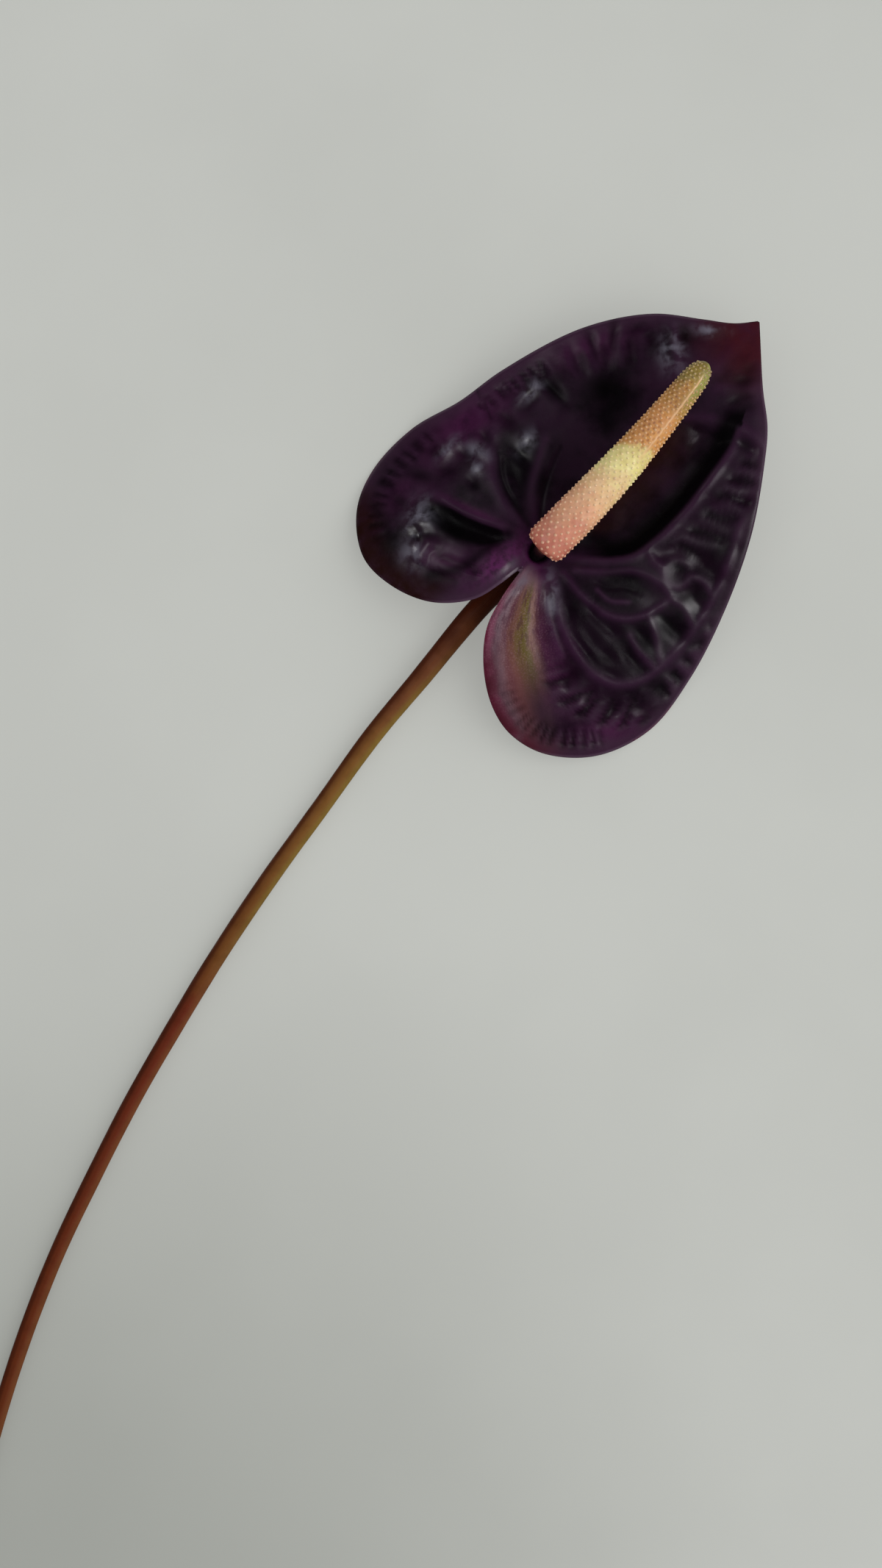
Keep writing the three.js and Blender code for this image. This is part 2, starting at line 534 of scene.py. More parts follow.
@dataclass
class Relief:
    """Every vein, crease, hollow and rib that puckers the spathe's upper face."""

    folds: list = field(default_factory=lambda: [
        Fold(0.55, 1.0, BASIN_CREST),
        Fold(0.5, 1.1, LATERAL_CREST),
        Fold(0.55, 0.9, [
            [8.2, 4.5], [14.8, 3.6], [21.5, 4.2], [26.5, 6.9], [29.8, 11.6], [31.4, 18.4],
        ]),
        Fold(0.45, 0.8, [[9.8, 7], [15.7, 12], [20.7, 17.2], [27.3, 19.4], [31.5, 18.9]]),
        Fold(-0.35, 0.7, [[14.8, 8.2], [18.5, 9.4], [21.5, 12.4], [25, 14]]),
        Fold(0.3, 0.6, [[17, 7.2], [21, 7.6], [24.6, 10.6]]),
        Fold(0.5, 1.1, OUTER_ARC),
        Fold(0.3, 0.9, [[30.6, 5.2], [34, 4.2], [40.8, 4]]),
        Fold(0.3, 0.9, [[30, 12], [35, 9.8], [40.6, 6]]),
        Fold(0.35, 0.9, [[31.4, 18.6], [35.6, 19.4], [40.6, 17.6]]),
        Fold(0.2, 1.0, [
            [24.6, 22], [27, 20.6], [30.4, 21.4], [31.4, 24.4], [29, 27], [25.6, 26.4], [24.6, 22],
        ]),
        Fold(0.3, 0.9, [[31, 26], [34.8, 27.2], [39, 26]]),
        Fold(0.4, 0.9, [[19.6, 22.6], [22, 22], [24.6, 22.4]]),
        Fold(-0.55, 0.8, [[-6, 7.2], [-11, 8.2], [-16, 9.6], [-20, 11.9], [-23.2, 15]]),
        Fold(-0.5, 0.8, [[-5, 10.3], [-8.4, 14.6], [-11.4, 20.4], [-13.6, 26.4]]),
        Fold(0.16, 1.1, [[-5.4, 8.8], [-9, 11.4], [-12, 14.6], [-15, 20], [-17.4, 25]]),
        Fold(0.22, 1.2, [[-6, 6], [-13, 6.4], [-20, 9], [-25, 13], [-28.6, 19]]),
        Fold(0.55, 1.0, LEFT_RIDGE),
        Fold(-0.7, 2.0, [[-9, 0.4], [-10.4, -3.4], [-9.4, -7], [-7, -11.4]]),
        Fold(0.8, 2.4, [[-5.2, 2.2], [-3.8, -3.4], [-4.8, -9.4], [-7, -14]]),
        Fold(0.16, 1.3, [[-16, -10.6], [-12, -9.4], [-8.6, -6.6]]),
        Fold(-0.2, 1.1, [[-16.6, -13.2], [-12.4, -11.8], [-8.6, -9.4]]),
        Fold(0.14, 1.3, [[-18, -16], [-13, -14.4], [-9.4, -12.4]]),
        Fold(-0.18, 1.1, [[-18.4, -18.4], [-13.6, -17], [-10, -15]]),
        Fold(-0.3, 0.5, [[-38.6, 23.2], [-35, 21.8], [-31, 20]]),
        Fold(0.5, 1.5, [[2.2, -3.6], [2.8, -9], [5.6, -15], [11, -21.6], [18, -26.4]]),
        Fold(-0.4, 1.1, [[4, -4.6], [5, -9.4], [8.4, -15], [14, -21]]),
        Fold(0.5, 1.4, [[5, -3.4], [7.4, -8], [11.8, -13.4], [18, -18.6]]),
        Fold(-0.45, 1.2, [[6.8, -2], [9.6, -6.4], [14, -10.8], [20.4, -14.8]]),
        Fold(0.45, 1.0, [[7.2, -0.4], [10.2, -3.6], [15.4, -7.2], [21.4, -10.2]]),
        Fold(0.35, 1.6, [[0.4, 66], [0.2, 73], [0, 80]]),
        Fold(0.35, 1.0, [[4, 63], [8, 67], [11, 69.6]]),
        Fold(0.35, 1.0, [[-3, 58], [-9, 62], [-14, 66.4]]),
    ])
    dishes: list = field(default_factory=lambda: [
        Dish(20.4, 2.6, 2.6, 1.2, -12, 0.8), Dish(26, 2.8, 3.0, 1.3, 4, 1.0),
        Dish(35, 1.6, 3.4, 1.3, -2, 1.0), Dish(24, -2, 2.6, 1.2, -10, 0.8),
        Dish(36.6, 14, 4.4, 1.8, 2, 1.4), Dish(32.6, 7.2, 3.4, 1.4, -2, 0.8),
        Dish(22.4, 24.6, 2.2, 1.7, 40, 0.8), Dish(24.6, 27.4, 2.4, 1.7, 26, 1.0),
        Dish(30.4, 30, 3.4, 1.9, 18, 1.1), Dish(27.8, 23.7, 1.8, 1.5, 0, 0.35),
        Dish(35.6, 30.6, 2.6, 1.4, 22, 0.8), Dish(33.4, 23.2, 2.6, 1.6, 60, 0.7),
        Dish(37.4, 22.6, 2.2, 1.2, 5, 0.7), Dish(21.4, 42.2, 2.4, 1.4, 22, 0.6),
        Dish(21.8, 49.4, 2.4, 1.4, 25, 0.65), Dish(28, 48, 2.1, 1.6, 40, 0.7),
        Dish(18.6, 57.6, 2.6, 1.4, 14, 0.7), Dish(24, 36, 3.6, 1.3, 26, 0.55),
        Dish(22, 33, 3.2, 1.2, 24, 0.5), Dish(33, 38.6, 2.4, 1.3, 30, 0.5),
        Dish(19, 12.4, 4.6, 2.2, 42, 0.7), Dish(25.4, 15.6, 4.4, 1.8, 18, 0.8),
        Dish(16, -1.6, 2.2, 0.9, -30, 0.5), Dish(24.6, -5.2, 3.6, 0.9, -6, 0.7),
        Dish(30, -2.2, 2.4, 1.2, 6, 0.7), Dish(34, -4.6, 2.2, 1.0, 14, 0.6),
        Dish(7.6, 68.2, 2.6, 1.5, 62, 0.7), Dish(9.6, 63.4, 2.2, 1.3, 70, 0.7),
        Dish(6.4, 71.8, 1.8, 1.2, 50, 0.45), Dish(12.6, 64.4, 2.0, 1.1, 60, 0.5),
        Dish(-10, 66.6, 2.4, 1.5, -40, 0.8), Dish(-13.6, 63.4, 2.2, 1.4, -60, 0.6),
        Dish(-16.6, 60.6, 2.2, 1.2, 70, 0.6), Dish(-20, 60.4, 2.2, 1.1, 75, 0.6),
        Dish(-8.4, 60.4, 3.4, 2.4, -50, -0.6), Dish(-15.6, 43.6, 5.4, 4.4, 60, 1.4),
        Dish(-23, 54.4, 4.8, 1.3, 128, 0.9), Dish(-25, 49.4, 4.6, 1.2, 150, 0.8),
        Dish(-25.4, 43.6, 4.0, 1.1, 150, 0.6), Dish(-25.4, 35.2, 4.6, 1.2, 176, 0.9),
        Dish(-29.4, 36.4, 1.8, 1.2, 0, 0.6), Dish(-28.6, 31, 1.2, 3.0, 0, -0.5),
        Dish(-26.6, 29, 1.3, 2.6, 5, 0.5), Dish(-33, 27, 1.8, 1.0, 0, 0.5),
        Dish(-27.4, 22.6, 2.0, 1.2, 0, 0.5), Dish(-19, 18.4, 2.6, 1.7, -10, 1.1),
        Dish(-20.6, 22.2, 1.6, 2.4, 10, -0.7), Dish(-16.4, 13.2, 4.0, 1.6, -30, 0.6),
        Dish(-28.4, 15.6, 2.2, 1.1, -10, 0.7), Dish(-27, 11.6, 2.8, 1.4, 10, -0.7),
        Dish(-29.6, 9.4, 2.0, 1.2, 0, 0.6), Dish(-25.2, 8.6, 1.6, 1.2, 0, -0.5),
        Dish(-23.2, 5.4, 1.8, 1.1, 0, 0.5), Dish(-33.4, 7.2, 1.4, 2.8, 0, -0.7),
        Dish(-36.4, 5.4, 1.6, 2.2, 0, 0.6), Dish(-30.4, 3.4, 2.0, 1.4, 20, 0.5),
        Dish(-18.4, -4.4, 8.6, 2.6, 16, 1.7), Dish(-12, -1.2, 4.0, 1.9, 30, 1.2),
        Dish(-34, -1.8, 3.2, 1.5, 22, 0.9), Dish(-33.4, -9.8, 2.6, 1.7, 6, 0.9),
        Dish(-36, -15.4, 3.2, 1.5, -12, 0.7), Dish(-30, -17.4, 2.6, 1.4, -20, 0.5),
        Dish(-24.2, -13.6, 1.9, 1.3, 20, 1.0), Dish(-26.2, -9.4, 3.0, 2.4, -40, -0.9),
        Dish(-21, -16.6, 3.0, 2.2, -30, -0.8), Dish(-21.6, -11, 2.4, 1.3, 30, 0.5),
        Dish(-27.4, -15.4, 2.0, 1.2, 0, 0.5),
    ])
    ribs: list = field(default_factory=lambda: [
        Ribs(4.7, 0.75, -1.2, -8.6, 20, 66, -0.1, OUTER_ARC),
        Ribs(3.2, 0.6, -2.6, -12.0, 17, 42, 0.3, OUTER_ARC),
        Ribs(5.0, 0.5, -2.4, -13.0, 20, 56, -0.42, BASIN_CREST),
        Ribs(3.0, 0.5, 1.0, 8.0, 28, 72, -0.1, RIGHT_OUTLINE),
        Ribs(2.6, 0.4, 1.6, 8.0, 52, 80, 0.1, LEFT_OUTLINE),
        Ribs(6.6, 0.4, 4.0, 13.0, 22, 54, -0.1, LEFT_OUTLINE),
        Ribs(3.6, 0.45, 1.8, 8.5, 84, 128, 0.1, LEFT_OUTLINE),
    ])

    def height(self, plan: Points) -> Points:
        """Height of the puckering at every plan point, in millimetres."""
        total = np.zeros(len(plan))
        for fold in self.folds:
            near = track(plan, fold.points)
            ends = smooth(near.share, -0.02, 0.12) * smooth(1 - near.share, -0.02, 0.12)
            total += fold.height * bell(near.distance, fold.width) * (0.25 + 0.75 * ends)
        for dish in self.dishes:
            total -= dish.depth * self.inside(dish, plan, 1.12)
        for row in self.ribs:
            total -= row.depth * self.wave(row, plan)[0]
        return total

    @staticmethod
    def wave(row: Ribs, plan: Points) -> tuple[Points, Points]:
        """How far inside the hollows and on the crests of a row of ribs every plan point is."""
        near = track(plan, row.points)
        run = near.share * length_of(spline(row.points, 200))
        low, high = sorted((row.near, row.far))
        band = smooth(near.side, low, low + 2.5) * smooth(-near.side, -high, -high + 2.5)
        stretch = smooth(run, row.first, row.first + 5) * smooth(-run, -row.last, -row.last + 5)
        away = np.abs(near.side)
        uneven = 0.3 * np.sin(run * 0.83 + 0.25 * away) + 0.3 * np.sin(run * 0.37 + 1.0)
        wave = 0.5 + 0.5 * np.cos(2 * math.pi * (run + row.slant * away + uneven) / row.spacing)
        return band * stretch * wave**1.6, band * stretch * (1 - wave) ** 3

    def furrows(self, plan: Points) -> tuple[Points, Points]:
        """Shares of the painted shade between the ribs, and of the vein colour on them."""
        waves = [self.wave(row, plan) for row in self.ribs]
        strength = [min(1, row.depth * 1.7) for row in self.ribs]
        return tuple(np.max([s * w[k] for s, w in zip(strength, waves)], axis=0) for k in (0, 1))

    @staticmethod
    def inside(dish: Dish, plan: Points, spread: float = 1.0) -> Points:
        """How far inside a dish every plan point is, 1 at its middle and 0 well outside it."""
        c, s = math.cos(math.radians(dish.turn)), math.sin(math.radians(dish.turn))
        dx, dy = plan[:, 0] - dish.x, plan[:, 1] - dish.y
        u = (dx * c + dy * s) / (dish.long * spread)
        v = (dy * c - dx * s) / (dish.wide * spread)
        return np.exp(-(u * u + v * v))

    def veins(self, plan: Points) -> Points:
        """Share of vein colour at every plan point."""
        raised = [f for f in self.folds if f.height > 0]
        near = [bell(track(plan, f.points).distance, 1.25 * f.width) for f in raised]
        return np.max(near, axis=0)

    def creases(self, plan: Points) -> Points:
        """Share of the painted shade along the creases at every plan point."""
        sunk = [f for f in self.folds if f.height < 0]
        return np.max([bell(track(plan, f.points).distance, f.width) for f in sunk], axis=0)

    def pits(self, plan: Points) -> Points:
        """Share of the painted shade in the hollows at every plan point."""
        sunk = [d for d in self.dishes if d.depth > 0]
        return np.max([min(1, d.depth * 1.1) * self.inside(d, plan, 1.1) for d in sunk], axis=0)

    def spots(self, dishes: list, plan: Points) -> Points:
        """Share of a colour at every plan point, laid in spots as strong as their depths."""
        return np.max([d.depth * self.inside(d, plan) for d in dishes], axis=0)


@dataclass
class Spathe:
    """The heart-shaped bract: a leathery saddle, hollowed round the spadix and puckered."""

    rays: int = 448
    rings: int = 100
    wall: float = 0.9
    edge_share: float = 0.45
    rim_height: float = 17.0
    hollow_depth: float = 4.5
    hollow_half: tuple = (19.0, 28.0)
    hollow_y: float = 31.0
    hollow_softness: float = 0.12
    hub: tuple = (0.3, 4.0)
    hub_hole: float = 1.2
    hub_dip: float = 3.0
    hub_dip_radius: float = 8.0
    collar: float = 0.5
    collar_radius: float = 3.1
    collar_width: float = 0.6
    wrinkle: Dish = Dish(-23.5, -12.5, 7, 5.5, -40, 1)
    rim_thickness: float = 0.3
    reach: dict = field(default_factory=lambda: {Side.RIGHT: 50.0, Side.LEFT: 44.0})
    droop: dict = field(default_factory=lambda: {Side.RIGHT: 15.9, Side.LEFT: 15.75})
    strength: float = 0.72
    relief: Relief = field(default_factory=Relief)

    def outline(self, count: int) -> Points:
        """The edge, from the notch round the right half to the tip and back round the left half."""
        right, left = spline(RIGHT_OUTLINE, 400), spline(LEFT_OUTLINE, 400)
        whole = np.vstack([right, left[1:], right[:1]])
        return resample(whole, count)

    def from_hub(self, plan: Points) -> Points:
        """Distance of every plan point from the hub."""
        return np.hypot(*(plan - np.array(self.hub)).T)

    def middle(self, plan: Points) -> Points:
        """Height of the middle of the CAD wall over the table."""
        x, y = plan[:, 0], plan[:, 1]
        reach = np.where(x > 0, self.reach[Side.RIGHT], self.reach[Side.LEFT])
        droop = np.where(x > 0, self.droop[Side.RIGHT], self.droop[Side.LEFT])
        flank = droop * (np.abs(x) / reach) ** 2.2 * bell(y + 5, 60)
        lobe = 5.6 * (np.maximum(0, -y) / 32) ** 2
        tip = 5.0 * (np.maximum(0, y - 45) / 38) ** 2
        half_x, half_y = self.hollow_half
        inside = 1 - (x / half_x) ** 2 - ((y - self.hollow_y) / half_y) ** 2
        soft = self.hollow_softness
        hollow = self.hollow_depth * soft * np.log1p(np.exp(inside / soft))
        hub_dip = self.hub_dip * bell(self.from_hub(plan), self.hub_dip_radius)
        return self.rim_height - flank - lobe - tip - hollow - hub_dip

    def top(self, plan: Points, edge: Points) -> Points:
        """Height of the upper face.

        Args:
            plan: Plan points.
            edge: Their distances from the outline.

        Returns:
            Heights over the table.
        """
        away = self.from_hub(plan)
        calm = smooth(edge, 0.2, 3.2) * smooth(away, 5.0, 8.5)
        basin = track(plan, BASIN_CREST)
        ends = smooth(basin.share, 0, 0.12) * smooth(1 - basin.share, 0, 0.1)
        step = -1.5 * smooth(basin.side, 0.2, 4.0) * smooth(-basin.side, -15, -6) * ends
        lateral = track(plan, LATERAL_CREST)
        lateral_ends = smooth(lateral.share, 0, 0.2) * smooth(1 - lateral.share, 0, 0.2)
        shelf = -smooth(-lateral.side, 0.2, 3.5) * smooth(lateral.side, -12, -5) * lateral_ends
        collar = self.collar * bell(away - self.collar_radius, self.collar_width)
        collar -= 1.7 * smooth(-away, -2.8, -1.6)
        broad, sharp = np.array([self.crumple(p) for p in plan]).T
        puckers = self.strength * self.relief.height(plan) + step + shelf
        puckers += 0.16 * broad + 0.8 * sharp * self.relief.inside(self.wrinkle, plan)
        heights = self.middle(plan) + self.wall / 2 + collar + calm * puckers
        return heights - 0.25 * smooth(-edge, -0.8, 0)

    @staticmethod
    def crumple(point: Points) -> tuple[float, float]:
        """Soft unevenness over centimetres, and sharper unevenness over two millimetres."""
        broad = noise.noise(Vector((point[0] * 0.16, point[1] * 0.16, 3.1)))
        sharp = noise.noise(Vector((point[0] * 0.27, point[1] * 0.27, 8.7)))
        return broad, abs(sharp) * 1.4 - 0.3

    def build(self, where: Placement) -> bpy.types.Object:
        """Makes the spathe, with its wall and its masks.

        Args:
            where: Turns its sizes into the row frame.

        Returns:
            The finished, undressed piece.
        """
        piece, ray, ring = wrapped_grid("spathe_leathery_heart", self.rays, self.rings)
        edge_points = self.outline(self.rays + 1)
        at = np.rint(ray * self.rays).astype(int)
        start = self.ring_start(edge_points)[at]
        plan = start + (edge_points[at] - start) * (ring**0.92)[:, None]
        edge = track(plan, np.vstack([RIGHT_OUTLINE, LEFT_OUTLINE[1:]]).tolist()).distance
        edge[ring > 0.9999] = 0
        heights = self.top(plan, edge)
        LOG.info("spathe lowest edge %.2f mm, highest %.2f mm", heights.min(), heights.max())
        place(piece, where.blossom(np.column_stack([plan, heights])))
        for name, values in SpatheMasks(self.relief, plan, edge, self.from_hub(plan)).all().items():
            paint(piece, name, values)
        share = np.clip(self.edge_share + (1 - self.edge_share) * smooth(edge, 0, 4), 0, 1)
        group = piece.vertex_groups.new(name="wall")
        for index, weight in enumerate(share):
            group.add([index], float(weight), "REPLACE")
        merge(piece)
        self.face_up(piece)
        self.thicken(piece)
        bpy.ops.object.shade_smooth()
        normals = np.empty(len(piece.data.vertices) * 3)
        piece.data.vertices.foreach_get("normal", normals)
        paint(piece, "under", (normals.reshape(-1, 3)[:, 2] < 0).astype(float))
        return piece

    def thicken(self, piece: bpy.types.Object) -> None:
        """Gives the open sheet its wall, thinner towards the edge."""
        wall = piece.modifiers.new("wall", "SOLIDIFY")
        wall.thickness = self.wall * MM
        wall.offset = -1
        wall.vertex_group = "wall"
        wall.thickness_vertex_group = self.rim_thickness
        wall.use_rim = True
        bpy.ops.object.modifier_apply(modifier=wall.name)

    def ring_start(self, edge_points: Points) -> Points:
        """The hub ring's points, one for each ray, in the order of the outline's points."""
        hub = np.array(self.hub)
        away = edge_points - hub
        angle = np.unwrap(np.arctan2(away[:, 1], away[:, 0]))
        return hub + self.hub_hole * np.stack([np.cos(angle), np.sin(angle)], axis=1)

    @staticmethod
    def face_up(piece: bpy.types.Object) -> None:
        """Turns the open sheet's faces over if they look down."""
        if sum(f.normal.z * f.area for f in piece.data.polygons) < 0:
            with whole_mesh(piece):
                bpy.ops.mesh.flip_normals()


@dataclass
class SpatheMasks:
    """The masks that the spathe's finish mixes its colours by, one value for each vertex.

    plan holds the vertices' plan points, edge their distances from the outline, and away their
    distances from the hub. The plum dishes are spots of colour, the pale dishes spots of painted
    sheen, each as strong as its depth, and the lit dishes spots of stronger gloss.
    """

    relief: Relief
    plan: Points
    edge: Points
    away: Points
    plum: list = field(default_factory=lambda: [
        Dish(-35, 15, 14, 6.5, 84, 0.9), Dish(-5, -4, 9, 4.2, 80, 1),
        Dish(19, -11.5, 13, 5, -28, 1), Dish(-17.5, 0.2, 12, 1.3, 17, 0.7),
        Dish(4, 0, 5, 3, 0, 1), Dish(43, -14, 12, 4.4, 62, 0.8),
        Dish(-25, 50, 15, 5, 58, 0.7), Dish(0.4, 0.4, 4.4, 2.8, 0, 1),
        Dish(-14, -13, 8, 4, 20, 0.8), Dish(30, -16, 12, 6, 20, 0.6),
        Dish(-34, -8, 9, 5, 80, 0.5), Dish(-6, 60, 8, 5, 60, 0.4),
    ])
    # Spots of painted sheen: the bluish grey highlight that the glossy skin shows towards the
    # light.
    pale: list = field(default_factory=lambda: [
        Dish(10, -1.6, 5.5, 1.6, -42, 1), Dish(-27, -9.6, 4.2, 2.9, -60, 1),
        Dish(-22, -17, 3.8, 2.9, -40, 0.8), Dish(-25.6, -12.6, 3.4, 2.6, -50, 1),
        Dish(-27.6, 12, 3.0, 1.6, 10, 1), Dish(-33.4, 8, 1.8, 3.2, 0, 1),
        Dish(-25, 8.6, 2.0, 1.4, 0, 1), Dish(-20.4, 21.4, 1.8, 2.8, 10, 1),
        Dish(-28.4, 31.6, 1.6, 3.4, 0, 1), Dish(-10, 61.6, 4.4, 2.8, -50, 1),
        Dish(-7, 72, 3.4, 1.5, 40, 1), Dish(-2.2, -4, 1.2, 3.4, 0, 0.35),
        Dish(2.6, -4.4, 1.2, 4.2, 0, 0.6),
    ])
    lit: list = field(default_factory=lambda: [
        Dish(27, 27.4, 2.0, 1.4, 0, 0.5), Dish(36.4, 20.4, 1.6, 3, 10, 1),
        Dish(32.6, 12.2, 1.8, 1.4, 50, 0.6), Dish(38, 7.2, 1.8, 1.6, 0, 1.0),
        Dish(43.2, 4.4, 1.5, 1.8, 0, 1), Dish(42.1, -1.6, 1.4, 1.0, -20, 0.7),
        Dish(39.6, -7.5, 1.4, 0.9, -30, 0.5), Dish(37, 24, 1.4, 2.6, 0, 1),
        Dish(35.4, -11.6, 1.4, 0.9, -40, 0.4),
    ])

    def __post_init__(self) -> None:
        """Measures what several masks need."""
        self.x, self.y = self.plan.T
        self.basin = track(self.plan, BASIN_CREST)
        self.veins = self.relief.veins(self.plan)
        self.furrows, self.crests = self.relief.furrows(self.plan)
        self.stripe = self.between_notch_lines()
        self.blush = self.flushed()
        self.eye = self.inside(20.5, 10, 13, 6.5, 32)
        self.left_cell = self.inside(-14, 18, 10, 8, 60)
        self.arc_floor = smooth(self.inside(28, -0.5, 17, 11.5, -8), 0.1, 0.45)

    def inside(self, x: float, y: float, long: float, wide: float, turn: float) -> Points:
        """How far inside a dish of the given centre, half sizes and turn every vertex is."""
        return self.relief.inside(Dish(x, y, long, wide, turn, 1), self.plan)

    def between_notch_lines(self) -> Points:
        """Place between the right lobe's notch edge, at 0, and its inner purple line, at 1."""
        outer, inner = track(self.plan, NOTCH_EDGE).distance, track(self.plan, NOTCH_LINE)
        between = outer / np.maximum(outer + inner.distance, 0.01)
        return np.where(inner.side > 0, 1.0, between)

    def flushed(self) -> Points:
        """Share of the flushed colours near the notch on the right lobe."""
        side = smooth(self.x, 0, 1.2) * smooth(-self.y, -1.5, 2.5)
        across = smooth(1 - self.stripe, 0, 0.45)
        fade = smooth(self.x, 13, 28) * (0.3 + 0.7 * smooth(self.stripe, 0.12, 0.5))
        return across * side * (1 - 0.9 * fade) * (1 - 0.8 * smooth(self.x, 24, 42))

    def shade_and_near_black(self, pits: Points) -> Points:
        """Near black in the cells, and painted shade in furrows, creases, troughs and the hub."""
        upper_left = self.inside(-14, 58, 16, 7, 52)
        right_flank = self.inside(33, 32, 17, 8, 105)
        shares = (self.arc_floor, self.eye, 0.7 * self.left_cell, 0.6 * upper_left, right_flank)
        cells = np.max(shares, axis=0) * (1 - 0.85 * self.veins)
        # Painted shade on the slope inside the basin crest, which faces away from the light.
        band = smooth(self.basin.side, 0.3, 1.6) * smooth(-self.basin.side, -8.0, -3.5)
        # Painted shade in the hollow beneath the left ridge.
        trough = np.maximum(
            smooth(self.inside(-18, -4.3, 11.4, 3.6, 17), 0.12, 0.62),
            smooth(self.inside(-12, -1.6, 6, 3, 30), 0.15, 0.7),
        )
        return np.clip(np.max([
            0.62 * cells,
            0.8 * self.furrows * smooth(self.edge, 0.4, 2.4) * (1 - 0.6 * self.blush),
            band * smooth(self.basin.share, 0.02, 0.2),
            # Painted cast shadow of the spadix's tip.
            self.inside(-15.8, 43.8, 6.4, 5.2, 60),
            trough * smooth(track(self.plan, LEFT_RIDGE).side, 0.0, 1.0),
            # Painted shade along the left groove.
            0.8 * bell(track(self.plan, LEFT_GROOVE).distance, 1.9),
            0.75 * pits,
            0.5 * self.relief.creases(self.plan) * (1 - self.blush),
            # Painted shade inside the hub hole.
            smooth(-self.away, -2.7, -2.2),
        ], axis=0), 0, 1)

    def shine(self, painted_sheen: Points, shade_and_near_black: Points, matte: list) -> Points:
        """Share of the glossy coat: strong on painted sheen and lit swellings, weak where matte."""
        gleam = self.relief.spots(self.lit, self.plan)
        gleam = np.maximum(gleam, 0.5 * self.crests * smooth(self.x, 12, 22))
        basin_floor = self.inside(-1, 33, 21, 27, 0)
        floors = [self.arc_floor, 0.7 * self.left_cell, basin_floor, 0.6 * self.eye]
        dull = np.max([*floors, shade_and_near_black, *matte], axis=0)
        return np.clip(0.15 * (1 - dull) + 0.4 * gleam * (1 - shade_and_near_black) + painted_sheen, 0.01, 1)

    def all(self) -> dict[str, Points]:
        """Every mask, by its name."""
        x, y, edge, stripe = self.x, self.y, self.edge, self.stripe
        upper_right = smooth(x, 19, 22) * smooth(y, 14, 22)
        pits = self.relief.pits(self.plan)
        shade_and_near_black = self.shade_and_near_black(pits * (1 - upper_right))
        ruby = smooth(y, 60, 76) * smooth(-np.abs(x), -16, -4)
        hem = smooth(-edge, -6.0, -0.5) * smooth(-y, 12, 24)
        rust = smooth(-edge, -9.5, -2.0) * smooth(-y, 9, 18) * smooth(-x, 6, 14)
        # Painted reflection of the spadix: reddish brown in the glossy basin beside it.
        spadix_reflection = smooth(self.basin.side, 5, 9) * smooth(-x, -16, 0) * smooth(x, 1, 5)
        painted_sheen = self.relief.spots(self.pale, self.plan)
        return {
            "vein": np.maximum(self.veins, self.crests) * smooth(self.away, 4, 7),
            # Painted shade, deep purple, in the upper right flank's hollows.
            "pit_shade": np.clip(pits * upper_right, 0, 1),
            "shade_and_near_black": shade_and_near_black,
            "edge": edge,
            "blush": self.blush,
            "stripe": stripe,
            "low": smooth(-y, 15, 25) * smooth(stripe, 0.1, 0.35) * smooth(1 - stripe, 0.3, 0.6),
            "away": self.away,
            "ruby": ruby,
            "hem": hem * smooth(x, 4, 12) * smooth(-x, -42, -30),
            "rust": rust,
            "spadix_reflection": spadix_reflection * smooth(y, 8, 16) * smooth(-y, -56, -44),
            "plum": self.relief.spots(self.plum, self.plan),
            "magenta": self.inside(-5, -4.4, 7.4, 3, 80),
            "pale": painted_sheen,
            "shine": self.shine(painted_sheen, shade_and_near_black, [ruby, rust]),
        }


